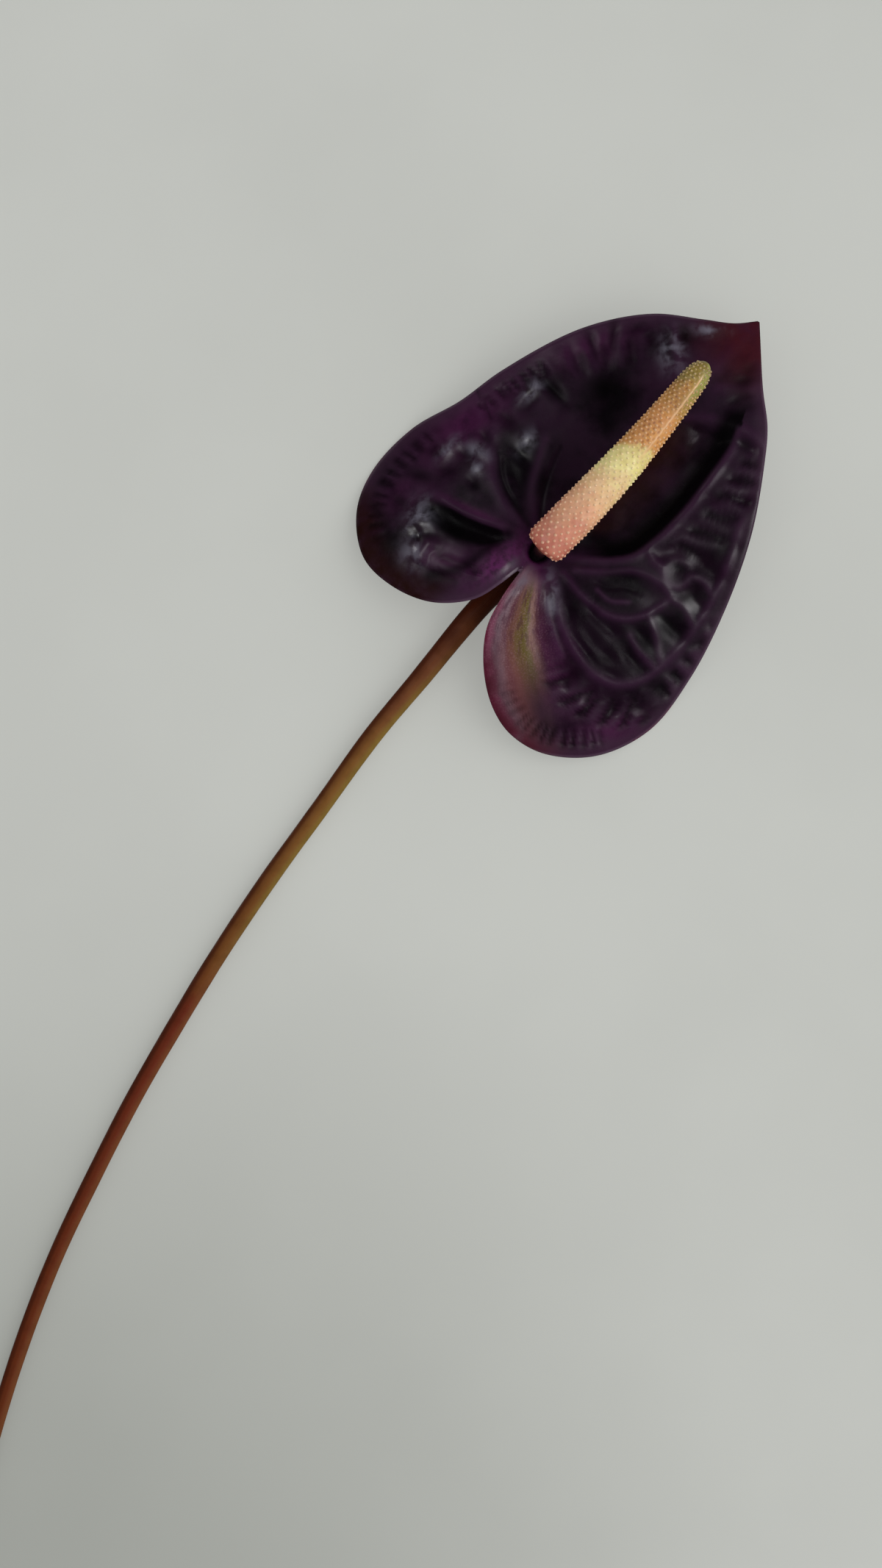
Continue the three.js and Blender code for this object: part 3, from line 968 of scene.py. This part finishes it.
@dataclass(frozen=True)
class SpatheFinish:
    """The spathe's glossy near-black purple skin, flushed olive and pink beside the notch."""

    gloss: Gloss = Gloss(roughness=0.42, coat=0.3, coat_roughness=0.33, specular=0.03, bump=0.00012)
    night: tuple = (13, 5, 13)
    aubergine: tuple = (38, 19, 36)
    vein: tuple = (57, 30, 54)
    # Painted highlight along the very edge.
    rim_highlight: tuple = (92, 70, 88)
    margin: tuple = (66, 40, 61)
    # Painted shade in the hollows of the upper right flank.
    pit_shade: tuple = (32, 5, 28)
    black: tuple = (3, 2, 3)
    plum: tuple = (70, 22, 61)
    magenta: tuple = (88, 34, 80)
    ruby: tuple = (62, 16, 26)
    hem: tuple = (72, 22, 36)
    rust: tuple = (34, 9, 5)
    # Painted reflection of the spadix in the basin.
    spadix_reflection: tuple = (44, 17, 11)
    # Painted sheen: bluish grey highlight.
    painted_sheen: tuple = (112, 108, 122)
    underside: tuple = (92, 42, 66)
    under_vein: tuple = (122, 70, 84)
    grain: tuple = (168, 132, 140)
    streak: tuple = (74, 34, 52)
    notch: tuple = (108, 80, 92)
    low_flush: tuple = (116, 66, 68)
    flush: list = field(default_factory=lambda: [
        (0.0, (100, 26, 54)), (0.07, (118, 62, 84)), (0.16, (108, 84, 94)), (0.26, (92, 54, 62)),
        (0.36, (112, 74, 62)), (0.43, (102, 80, 48)), (0.51, (94, 80, 38)), (0.58, (118, 84, 76)),
        (0.70, (84, 44, 66)), (0.86, (62, 27, 52)),
    ])

    def material(self) -> bpy.types.Material:
        """The spathe's material, mixed by the masks stored on its mesh."""
        material, n, shader_node = shader("spathe_skin", self.gloss)
        mottle = skin(n, shader_node, self.gloss, 0.25)
        ground = n.mix(n.range(n.noise(90, 5), 0.36, 0.64), self.night, self.aubergine)
        clouds = n.range(mottle, 0.25, 0.6, 0.45, 1)
        colour = n.mix(n.times(n.value("plum"), clouds), ground, self.plum)
        colour = n.mix(n.times(n.value("vein"), 0.55), colour, self.vein)
        flecks = n.range(n.noise(700, 5), 0.3, 0.62)
        colour = n.mix(n.times(n.value("magenta"), flecks), colour, self.magenta)
        colour = n.mix(n.range(n.value("edge"), 4.5, 0.6, 0, 0.5), colour, self.margin)
        # Painted highlight along the outermost millimetre of the edge.
        colour = n.mix(n.range(n.value("edge"), 0.9, 0.15, 0, 0.5), colour, self.rim_highlight)
        flushed = n.ramp(self.wavering(n), self.flush)
        flushed = n.mix(n.range(n.noise(2600, 3), 0.45, 0.75, 0, 0.25), flushed, self.grain)
        near = n.range(n.value("away"), 32.0, 14.0, 0.15, 0.55)
        drawn = n.times(n.range(self.streaks(n), 0.5, 0.62), near)
        flushed = n.mix(drawn, flushed, self.streak)
        flushed = n.mix(n.times(n.value("low"), 0.75), flushed, self.low_flush)
        flushed = n.mix(n.range(n.value("away"), 12.0, 6.0, 0, 0.85), flushed, self.notch)
        colour = n.mix(n.value("blush"), colour, flushed)
        # The first tint is the spadix's painted reflection; ruby, hem and rust are the skin's own.
        tints = {"spadix_reflection": self.spadix_reflection, "ruby": self.ruby, "hem": self.hem, "rust": self.rust}
        for name, tint in tints.items():
            share = n.times(n.value(name), n.range(mottle, 0.2, 0.7, 0.55, 1))
            colour = n.mix(share, colour, tint)
        # Painted shade: deep purple in the upper right's hollows.
        colour = n.mix(n.times(n.value("pit_shade"), 0.85), colour, self.pit_shade)
        # Near black: the cells' own colour, and painted shade in creases, hollows and cast shadow.
        colour = n.mix(n.times(n.value("shade_and_near_black"), 0.94), colour, self.black)
        # Painted sheen, in wisps, over the pale spots.
        wisps = n.range(n.noise(300, 5, Distortion=0.3), 0.36, 0.66)
        colour = n.mix(n.times(n.times(n.value("pale"), wisps), 0.75), colour, self.painted_sheen)
        below = n.mix(n.value("vein"), self.underside, self.under_vein)
        colour = n.mix(n.value("under"), colour, n.mix(n.range(mottle, 0.3, 0.7), below, self.vein))
        n.feed(shader_node, "Base Color", colour)
        uneven = n.range(n.noise(120, 4), 0.36, 0.66, 0.35, 1.5)
        n.feed(shader_node, "Coat Weight", n.times(n.value("shine"), uneven, clamp=True))
        return material

    @staticmethod
    def streaks(n: Nodes) -> Socket:
        """Fine streaks that run from the hub along the flushed lobe."""
        texture = n.add("ShaderNodeTexNoise")
        along = n.vector(n.times(n.value("stripe"), 22.0), n.times(n.value("away"), 0.3))
        n.fill(texture, {"Vector": along, "Scale": 1.0, "Detail": 4.0})
        return texture.outputs["Fac"]

    @staticmethod
    def wavering(n: Nodes) -> Socket:
        """The stripe coordinate, made slightly uneven."""
        return n.maths("ADD", n.value("stripe"), n.range(n.noise(160, 4), 0.3, 0.7, -0.025, 0.025))


# ---------------------------------------------------------------- the spadix and what holds it


@dataclass
class Spadix:
    """The fleshy spike: a tapering round body set with florets, each with a pale stigma."""

    route: list = field(default_factory=lambda: [
        [0.6, 4, 20.9], [0.9, 18, 23.6], [0.8, 33, 26.5], [0, 48, 29.4], [-1.2, 62, 32],
    ])
    radii: list = field(default_factory=lambda: [5.1, 5.1, 4.85, 4.5, 4.0, 3.55, 3.05])
    end_length: float = 3.0
    tip_length: float = 6.0
    around: int = 112
    along: int = 300
    floret_columns: int = 16
    first_row: float = 1.2
    last_row: float = 0.92
    floret_swell: float = 0.1
    stigma_radius: tuple = (0.44, 0.3)
    stigma_height: float = 0.3
    stigma_stretch: float = 1.15
    stigma_room: float = 1.7
    seam_width: float = 0.32
    seam_gap: float = 0.3
    seed: int = 11

    def __post_init__(self) -> None:
        """Works out the spike's line and its rows of florets."""
        self.line = spline(self.route, 500)
        self.length = length_of(self.line)
        rows, at = [], 0.9
        while at < self.length - 0.5:
            rows.append(at / self.length)
            at += self.first_row + (self.last_row - self.first_row) * at / self.length
        self.rows = np.array(rows)

    def radius(self, share: Points) -> Points:
        """Radius at shares of the whole length, closing to nothing at both ends."""
        run = np.clip(share, 0, 1) * self.length
        body = np.clip((run - self.end_length) / (self.length - 2 * self.end_length), 0, 1)
        wide = np.interp(body, np.linspace(0, 1, len(self.radii)), self.radii)
        base_end = np.clip(1 - run / self.end_length, 0, 1)
        tip_end = np.clip(1 - (self.length - run) / self.tip_length, 0, 1)
        return wide * (1 - base_end**3.2) ** (1 / 2.2) * (1 - tip_end**2.4) ** (1 / 2.0)

    def cell(self, share: Points, turn: Points) -> Points:
        """How near every point of the skin is to the middle of its floret, from 0 to 1."""
        row = np.interp(share, self.rows, np.arange(len(self.rows)))
        column = turn / (2 * math.pi) * self.floret_columns
        return 0.5 + 0.5 * np.cos(math.pi * row) * np.cos(2 * math.pi * column)

    def seam(self, share: Points, turn: Points) -> Points:
        """The smooth seam that runs along the upper right of the spike's outer half."""
        middle = 0.42 + 0.25 * (1 - share)
        across = bell((turn - middle) * self.radius(share), self.seam_width)
        return across * smooth(share, 0.5, 0.62) * smooth(1 - share, 0.03, 0.08)

    def build(self, where: Placement) -> bpy.types.Object:
        """Makes the spike's body, swollen a little at every floret."""
        piece, turn, share = tube("spadix_body", self.around, self.along)
        share = 0.5 - 0.5 * np.cos(math.pi * share) * (0.35 + 0.65 * np.abs(2 * share - 1) ** 0.35)
        share = np.clip((share - share.min()) / (share.max() - share.min()), 0, 1)
        swell = self.floret_swell * (self.cell(share, turn) - 0.5)
        swell *= smooth(share * (1 - share), 0.01, 0.04)
        swell += 0.14 * self.seam(share, turn)
        radius = np.where((share < 1e-6) | (share > 1 - 1e-6), 0, self.radius(share) + swell)
        place(piece, where.blossom(around_path(self.line, share, radius, turn)))
        paint(piece, "share", share)
        paint(piece, "cell", self.cell(share, turn))
        paint(piece, "seam", self.seam(share, turn))
        paint(piece, "sunny", np.sin(turn))
        sew(piece)
        return piece

    @staticmethod
    def dome() -> tuple[Points, list]:
        """Points and faces of one stigma: a small ball of radius 1 with its underside cut flat."""
        bpy.ops.mesh.primitive_uv_sphere_add(segments=8, ring_count=6, radius=1)
        ball = bpy.context.object
        base = {"plane_co": (0, 0, -0.45), "plane_no": (0, 0, 1)}
        with whole_mesh(ball):
            bpy.ops.mesh.bisect(**base, clear_inner=True, use_fill=True)
        shape = np.array([v.co for v in ball.data.vertices])
        faces = [tuple(f.vertices) for f in ball.data.polygons]
        bpy.data.objects.remove(ball)
        return shape, faces

    def florets(self) -> Iterator[tuple[float, Points, Points, float]]:
        """Row, share along, turn and stigma size of every floret, all slightly uneven."""
        chance = np.random.default_rng(self.seed)
        for index, row in enumerate(self.rows):
            size = np.interp(row, [0, 1], self.stigma_radius)
            for column in range(self.floret_columns):
                turn = (column + 0.5 * (index % 2)) / self.floret_columns * 2 * math.pi
                turn = (turn + math.pi) % (2 * math.pi) - math.pi
                at = np.array([row + chance.normal(0, 0.002)])
                lean = np.array([turn + chance.normal(0, 0.028)])
                yield row, at, lean, size * chance.uniform(0.82, 1.15)

    def stigmas(self, where: Placement) -> bpy.types.Object:
        """Makes the pale stigmas: one small dome, copied to every floret."""
        shape, faces = self.dome()
        points, shares = [], []
        for row, at, turn, size in self.florets():
            radius = self.radius(at)
            room = 2 * math.pi * radius[0] / self.floret_columns
            if room < self.stigma_room * size or self.seam(at, turn)[0] > self.seam_gap:
                continue
            out = self.outward(at, turn)
            turned = np.array(Vector((0, 0, 1)).rotation_difference(Vector(out)).to_matrix())
            tall = size * self.stigma_stretch
            scaled = shape * np.array([size, size, tall])
            foot = around_path(self.line, at, radius, turn)[0]
            points.append(scaled @ turned.T + (foot + out * (self.stigma_height - tall)))
            shares.append(np.full(len(shape), row))
        starts = range(0, len(points) * len(shape), len(shape))
        every = [tuple(i + start for i in f) for start in starts for f in faces]
        piece = new_piece("spadix_stigmas", where.blossom(np.vstack(points)), every)
        paint(piece, "share", np.concatenate(shares))
        pick(piece)
        bpy.ops.object.shade_smooth()
        LOG.info("%d stigmas of %d faces", len(points), len(faces))
        return piece

    def outward(self, at: Points, turn: Points) -> Points:
        """Unit direction straight out of the skin at a place."""
        step = 0.003
        here = around_path(self.line, at, self.radius(at), turn)[0]
        on = around_path(self.line, at + step, self.radius(at + step), turn)[0]
        round_it = around_path(self.line, at, self.radius(at), turn + 0.05)[0]
        out = np.cross(round_it - here, on - here)
        middle = around_path(self.line, at, self.radius(at) * 0, turn)[0]
        return out / np.linalg.norm(out) * (1 if out @ (here - middle) > 0 else -1)


@dataclass(frozen=True)
class SpadixFinish:
    """The spike's waxy colours: salmon, peach, cream, orange and olive from its base to its tip."""

    gloss: Gloss = Gloss(
        roughness=0.42, coat=0.1, coat_roughness=0.3, specular=0.4, subsurface=0.12, bump=0.00006
    )
    stigma_gloss: Gloss = Gloss(
        roughness=0.34, coat=0.2, coat_roughness=0.2, specular=0.5, subsurface=0.1, bump=0.00003
    )
    flesh_scatter: tuple = (1.0, 0.45, 0.2)
    along: list = field(default_factory=lambda: [
        (0.0, (194, 108, 90)), (0.12, (212, 136, 110)), (0.24, (234, 174, 134)),
        (0.36, (240, 198, 146)), (0.46, (244, 230, 156)), (0.53, (236, 220, 140)),
        (0.60, (216, 152, 80)), (0.70, (216, 150, 82)), (0.82, (192, 138, 64)),
        (0.90, (154, 130, 56)), (1.0, (120, 108, 44)),
    ])
    # Painted shade between the florets; the same colour also darkens the random mottling.
    pit_shade: tuple = (150, 74, 44)
    green: tuple = (150, 146, 64)
    seam: tuple = (226, 176, 126)
    stigma: tuple = (250, 214, 176)

    def base(self, n: Nodes) -> Socket:
        """The spike's colour along its length, made slightly uneven."""
        share = n.maths("ADD", n.value("share"), n.range(n.noise(200, 3), 0.3, 0.7, -0.045, 0.045))
        return n.ramp(share, self.along)

    def body_material(self) -> bpy.types.Material:
        """Material of the spike's body."""
        material, n, shader_node = shader("spadix_flesh", self.gloss)
        mottle = skin(n, shader_node, self.gloss, 0.35)
        colour = self.base(n)
        # Painted shade in the gaps between florets, stronger on the outer half.
        outer = n.range(n.value("share"), 0.52, 0.62, 0.1, 0.5)
        patches = n.range(n.noise(520, 2), 0.36, 0.62)
        pits = n.times(n.range(n.value("cell"), 0.5, 0.12), n.times(outer, patches))
        colour = n.mix(pits, colour, self.pit_shade, "MULTIPLY")
        side = n.times(n.range(n.value("share"), 0.74, 0.9), n.range(n.value("sunny"), 0.1, 0.7))
        colour = n.mix(side, colour, self.green)
        colour = n.mix(n.range(mottle, 0.3, 0.72, 0, 0.25), colour, self.pit_shade, "MULTIPLY")
        colour = n.mix(n.times(n.value("seam"), 0.8), colour, self.seam)
        n.feed(shader_node, "Base Color", colour)
        n.feed(shader_node, "Subsurface Radius", self.flesh_scatter)
        return material

    def stigma_material(self) -> bpy.types.Material:
        """Material of the stigmas: the spike's colour, paler."""
        material, n, shader_node = shader("spadix_stigma", self.stigma_gloss)
        mottle = skin(n, shader_node, self.stigma_gloss, 0.5)
        pale = n.range(n.value("share"), 0.5, 0.95, 0.42, 0.28)
        colour = n.mix(pale, self.base(n), self.stigma)
        dim = n.range(mottle, 0.3, 0.7, 0, 0.2)
        n.feed(shader_node, "Base Color", n.mix(dim, colour, self.pit_shade, "MULTIPLY"))
        return material


@dataclass
class Stipe:
    """The short neck that carries the spadix through the hole in the spathe."""

    route: list = field(default_factory=lambda: [
        [0.3, 2.7, 11.2], [0.3, 4.2, 13.4], [0.45, 5.7, 15.8],
    ])
    radius: float = 2.0
    waist: float = 0.86
    end: float = 0.1
    around: int = 40
    along: int = 24

    def build(self, where: Placement) -> bpy.types.Object:
        """Makes the neck, slightly waisted and fluted."""
        piece, turn, share = tube("stipe_neck", self.around, self.along)
        body = np.clip((share - self.end) / (1 - 2 * self.end), 0, 1)
        wide = self.radius * (self.waist + (1 - self.waist) * np.abs(2 * body - 1) ** 2)
        wide *= 1 + 0.02 * np.cos(9 * turn)
        ends = rounded(share, self.end) * rounded(1 - share, self.end)
        place(piece, where.blossom(around_path(spline(self.route, 60), body, wide * ends, turn)))
        paint(piece, "share", share)
        sew(piece)
        return piece

    @staticmethod
    def material() -> bpy.types.Material:
        """Plum skin painted near black as shade in the hole, paler and greener at the spadix."""
        gloss = Gloss(roughness=0.6, specular=0.1, bump=0.00008)
        material, n, shader_node = shader("stipe_skin", gloss)
        mottle = skin(n, shader_node, gloss, 0.5)
        # Painted shade: near black where the neck sits in the spathe's hole.
        colour = n.ramp(n.value("share"), [
            (0.0, (12, 4, 10)), (0.5, (22, 8, 17)), (0.85, (58, 26, 34)), (1.0, (112, 62, 50)),
        ])
        dim = n.range(mottle, 0.3, 0.7, 0, 0.4)
        n.feed(shader_node, "Base Color", n.mix(dim, colour, (90, 60, 70), "MULTIPLY"))
        return material


@dataclass
class Stem:
    """The long tapering stem, lying from the back of the spathe down onto the table."""

    route: list = field(default_factory=lambda: [
        [1.7, 1.4, 10.7], [0.6, 0.4, 9.2], [-1.4, -1.3, 8.2], [-6.4, -5.2, 7.3],
        [-10.9, -9.6, 6.5], [-15.4, -14.7, 5.7], [-25.5, -27, 4.1], [-37.6, -41.5, 3.05],
        [-51, -60, 2.45], [-64, -78, 2.25], [-76.3, -96.5, 2.15], [-87.5, -115, 2.1],
        [-97.8, -133, 2.05], [-107.3, -151.6, 2], [-116.1, -170, 1.95], [-123.5, -188.5, 1.9],
        [-130, -208, 1.85], [-135.5, -228, 1.8], [-139.5, -246, 1.75], [-142, -258, 1.75],
    ])
    top_radius: float = 2.4
    foot_radius: float = 1.75
    flare: float = 0.5
    flare_share: float = 0.14
    ridges: int = 11
    around: int = 64
    along: int = 620
    cap: float = 0.004
    dome: float = 0.12

    def build(self, where: Placement) -> bpy.types.Object:
        """Makes the stem with faint lengthwise ridges, a flared top and a clean cut foot."""
        piece, turn, share = tube("stem_stalk", self.around, self.along)
        body = np.clip((share - self.cap) / (1 - 2 * self.cap), 0, 1)
        line = spline(self.route, 900)
        wide = self.top_radius + (self.foot_radius - self.top_radius) * body
        wide += self.flare * bell(body, self.flare_share)
        fade = smooth(body, 0.02, 0.06)
        ridges = 0.035 * np.cos(self.ridges * turn + 3 * body) + 0.03 * np.cos(5 * turn + 9 * body)
        rough = [noise.noise(Vector((b * 26, t, 0.4))) for b, t in zip(body, np.cos(turn))]
        wide += fade * (ridges + 0.05 * np.array(rough))
        foot_end = np.clip((share - 1 + self.cap) / self.cap, 0, 1)
        open_share = rounded(share, self.cap) * (1 - foot_end)
        points = around_path(line, body, wide * open_share, turn)
        foot = foot_end > 0
        tangent = (line[-1] - line[-2]) / np.linalg.norm(line[-1] - line[-2])
        dome = self.dome * np.sqrt(np.clip(1 - (1 - foot_end) ** 6, 0, 1))
        points[foot] += dome[foot, None] * tangent
        place(piece, where.table(points))
        paint(piece, "share", share)
        paint(piece, "sunny", -np.sin(turn))
        paint(piece, "turn", turn)
        paint(piece, "cut", (foot_end > 0.02).astype(float))
        paint(piece, "core", open_share)
        sew(piece)
        return piece


@dataclass(frozen=True)
class StemFinish:
    """The stem's satin skin: deep wine by the flower, then russet with a painted olive lit side."""

    gloss: Gloss = Gloss(roughness=0.5, specular=0.05, bump=0.00008)
    along: list = field(default_factory=lambda: [
        (0.0, (46, 12, 10)), (0.06, (56, 18, 10)), (0.13, (104, 58, 34)), (0.24, (118, 78, 34)),
        (0.40, (106, 64, 26)), (0.5, (96, 32, 16)), (0.75, (92, 36, 15)), (1.0, (92, 48, 20)),
    ])
    shaded: tuple = (66, 16, 4)
    # Painted light: olive and tan on the side that faces the light.
    olive: tuple = (124, 104, 44)
    lit_tan: tuple = (110, 65, 36)
    fibre: tuple = (128, 78, 42)
    cut: tuple = (176, 170, 118)
    bundle: tuple = (120, 108, 60)

    def material(self) -> bpy.types.Material:
        """The stem's material, with fine fibres along its length."""
        material, n, shader_node = shader("stem_skin", self.gloss)
        mottle = skin(n, shader_node, self.gloss, 0.3)
        share = n.value("share")
        uneven = n.maths("ADD", share, n.range(n.noise(50, 3), 0.3, 0.7, -0.03, 0.03))
        colour = n.ramp(uneven, self.along)
        # Painted light: the side facing the light drawn olive, then tan lower down.
        side = n.mix(n.range(share, 0.34, 0.46), self.olive, self.lit_tan)
        lit = n.times(n.range(n.value("sunny"), 0.15, 0.95), n.range(share, 0.08, 0.18))
        colour = n.mix(n.times(lit, 0.75), colour, side)
        # Painted shade along the side away from the light.
        dim = n.times(n.range(n.value("sunny"), 0.1, -0.8), 0.85)
        colour = n.mix(dim, colour, self.shaded)
        strands = n.add("ShaderNodeTexWave", wave_type="BANDS", bands_direction="X")
        lengthwise = n.vector(n.value("turn"), n.times(share, 6.0))
        n.fill(strands, {"Vector": lengthwise, "Scale": 3.2, "Distortion": 2.4, "Detail": 3.0})
        colour = n.mix(n.range(strands.outputs["Fac"], 0.6, 0.95, 0, 0.3), colour, self.fibre)
        colour = n.mix(n.range(mottle, 0.42, 0.7, 0, 0.14), colour, self.shaded, "MULTIPLY")
        spots = n.add("ShaderNodeTexVoronoi")
        n.fill(spots, {"Vector": n.coordinates(), "Scale": 2600.0})
        face = n.mix(n.range(spots.outputs["Distance"], 0.3, 0.15), self.cut, self.bundle)
        face = n.mix(n.range(n.value("core"), 0.8, 0.97), face, self.shaded)
        n.feed(shader_node, "Base Color", n.mix(n.value("cut"), colour, face))
        return material


# ---------------------------------------------------------------- the studio


@dataclass(frozen=True)
class Lamp:
    """One soft square light: its place and size in metres, its power and what it shows in."""

    name: str
    place: tuple
    size: tuple
    power: float
    colour: tuple = (255, 255, 255)
    lights: bool = True
    glints: bool = True


@dataclass
class Studio:
    """The pale table, the soft lights and the camera straight above."""

    floor_half: float = 1.6
    floor_colour: tuple = (146, 147, 143)
    floor_shade: tuple = (140, 141, 137)
    # The floor's painted glow, and the tint and place of its painted soft shadow.
    floor_glow: tuple = (145, 146, 142)
    painted_floor_shadow: tuple = (212, 213, 211)
    painted_shadow_place: tuple = (-0.10, -0.20, 0.0)
    ambient: float = 0.6
    ambient_gloss: float = 0.03
    ambient_colour: tuple = (250, 252, 252)
    lamps: list = field(default_factory=lambda: [
        Lamp("soft_window", (1.05, -0.2, 1.1), (1.9, 1.9), 14.5, glints=False),
        Lamp("window_glint", (0.68, -0.1, 0.55), (0.34, 0.34), 5.0, lights=False),
        Lamp("side_glint", (-0.3, 0.27, 0.62), (0.26, 0.26), 1.2, lights=False),
    ])
    aim: tuple = (0.02, 0.05, 0.01)
    camera_place: tuple = (0.02177, 0.04510, 0.545)
    lens: float = 50.0
    film: float = 36.0

    def build(self) -> None:
        """Sets up the floor, the world, the lights and the camera."""
        bpy.ops.object.select_all(action="DESELECT")
        bpy.ops.mesh.primitive_plane_add(size=2 * self.floor_half, location=(0, 0, 0))
        floor = bpy.context.object
        floor.name = "table_top"
        floor.data.materials.append(self.floor_material())
        world = bpy.data.worlds.new("room")
        bpy.context.scene.world = world
        world.use_nodes = True
        n = Nodes(world.node_tree)
        background = world.node_tree.nodes["Background"]
        n.feed(background, "Color", rgba(self.ambient_colour))
        glossy = n.add("ShaderNodeLightPath").outputs["Is Glossy Ray"]
        strength = n.add("ShaderNodeMapRange")
        ends = {"To Min": self.ambient, "To Max": self.ambient_gloss}
        n.fill(strength, {"Value": glossy, **ends})
        n.feed(background, "Strength", strength.outputs["Result"])
        for lamp in self.lamps:
            self.light(lamp)
        self.camera()
        bpy.context.scene.view_settings.view_transform = "Standard"

    def light(self, lamp: Lamp) -> None:
        """Adds one soft light that faces the flower."""
        data = bpy.data.lights.new(lamp.name, "AREA")
        data.shape = "RECTANGLE"
        data.size, data.size_y = lamp.size
        data.energy = lamp.power
        data.color = rgba(lamp.colour)[:3]
        holder = bpy.data.objects.new(lamp.name, data)
        holder.location = lamp.place
        towards = Vector(self.aim) - Vector(lamp.place)
        holder.rotation_euler = towards.to_track_quat("-Z", "Y").to_euler()
        holder.visible_diffuse = lamp.lights
        holder.visible_glossy = lamp.glints
        bpy.context.scene.collection.objects.link(holder)

    def camera(self) -> None:
        """Adds the camera, looking straight down with the table's +Y at the top."""
        lens = bpy.data.cameras.new("overhead")
        lens.lens = self.lens
        lens.sensor_width = self.film
        lens.sensor_fit = "AUTO"
        lens.clip_start = 0.01
        holder = bpy.data.objects.new("overhead", lens)
        holder.location = self.camera_place
        bpy.context.scene.collection.objects.link(holder)
        bpy.context.scene.camera = holder

    def floor_material(self) -> bpy.types.Material:
        """Matt pale paint, faintly uneven, with a painted soft shadow and a painted glow."""
        paint = Gloss(roughness=0.85, specular=0.2, bump=0.0001)
        material, n, shader_node = shader("table_paint", paint)
        uneven = n.range(n.noise(9, 4), 0.35, 0.65)
        colour = n.mix(uneven, self.floor_colour, self.floor_shade)
        # Painted soft shadow: darker towards one place on the floor.
        away = n.add("ShaderNodeVectorMath", operation="DISTANCE")
        n.fill(away, {0: n.coordinates(), 1: self.painted_shadow_place})
        dim = n.range(away.outputs["Value"], 0.26, 0.05)
        for socket, tint in (("Base Color", colour), ("Emission Color", self.floor_glow)):
            n.feed(shader_node, socket, n.mix(dim, tint, self.painted_floor_shadow, "MULTIPLY"))
        # Painted light: the floor glows though it is no lamp, which keeps its shadows weak.
        n.feed(shader_node, "Emission Strength", 1.0)
        return material


# ---------------------------------------------------------------- putting it together


def blossom_placement(spathe: Spathe) -> Placement:
    """Finds where the CAD blossom stands in the row frame from its spathe's box."""
    plan = spathe.outline(121)
    under = spathe.middle(plan) - spathe.wall / 2
    turned = Placement(np.zeros(3)).blossom(np.column_stack([plan, under])) / MM
    low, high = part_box("spathe")
    corner = np.array([high.x, high.y, low.z]) / MM
    shift = corner - [turned[:, 0].max(), turned[:, 1].max(), turned[:, 2].min()]
    LOG.info("blossom stands at %s mm", np.round(shift, 3))
    return Placement(shift)


def finish_piece(piece: bpy.types.Object, node: str, material: bpy.types.Material) -> None:
    """Dresses a piece, says which CAD node it stands for and hangs it on the body."""
    piece.data.materials.clear()
    piece.data.materials.append(material)
    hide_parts(node)
    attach(piece, ROOT)
    LOG.info("%s: %d faces, stands for %s", piece.name, len(piece.data.polygons), node)


def main() -> None:
    """Builds the studio and the flower's pieces in order."""
    logging.basicConfig(level=logging.INFO, format="%(message)s")
    bpy.ops.object.select_all(action="DESELECT")
    Studio().build()
    spathe = Spathe()
    where = blossom_placement(spathe)
    finish_piece(spathe.build(where), "spathe", SpatheFinish().material())
    spadix, spadix_finish = Spadix(), SpadixFinish()
    finish_piece(spadix.build(where), "spadix", spadix_finish.body_material())
    finish_piece(spadix.stigmas(where), "spadix", spadix_finish.stigma_material())
    stipe = Stipe()
    finish_piece(stipe.build(where), "stipe", stipe.material())
    finish_piece(Stem().build(where), "stem", StemFinish().material())
    bpy.context.view_layer.update()


if __name__ == "__main__":
    main()
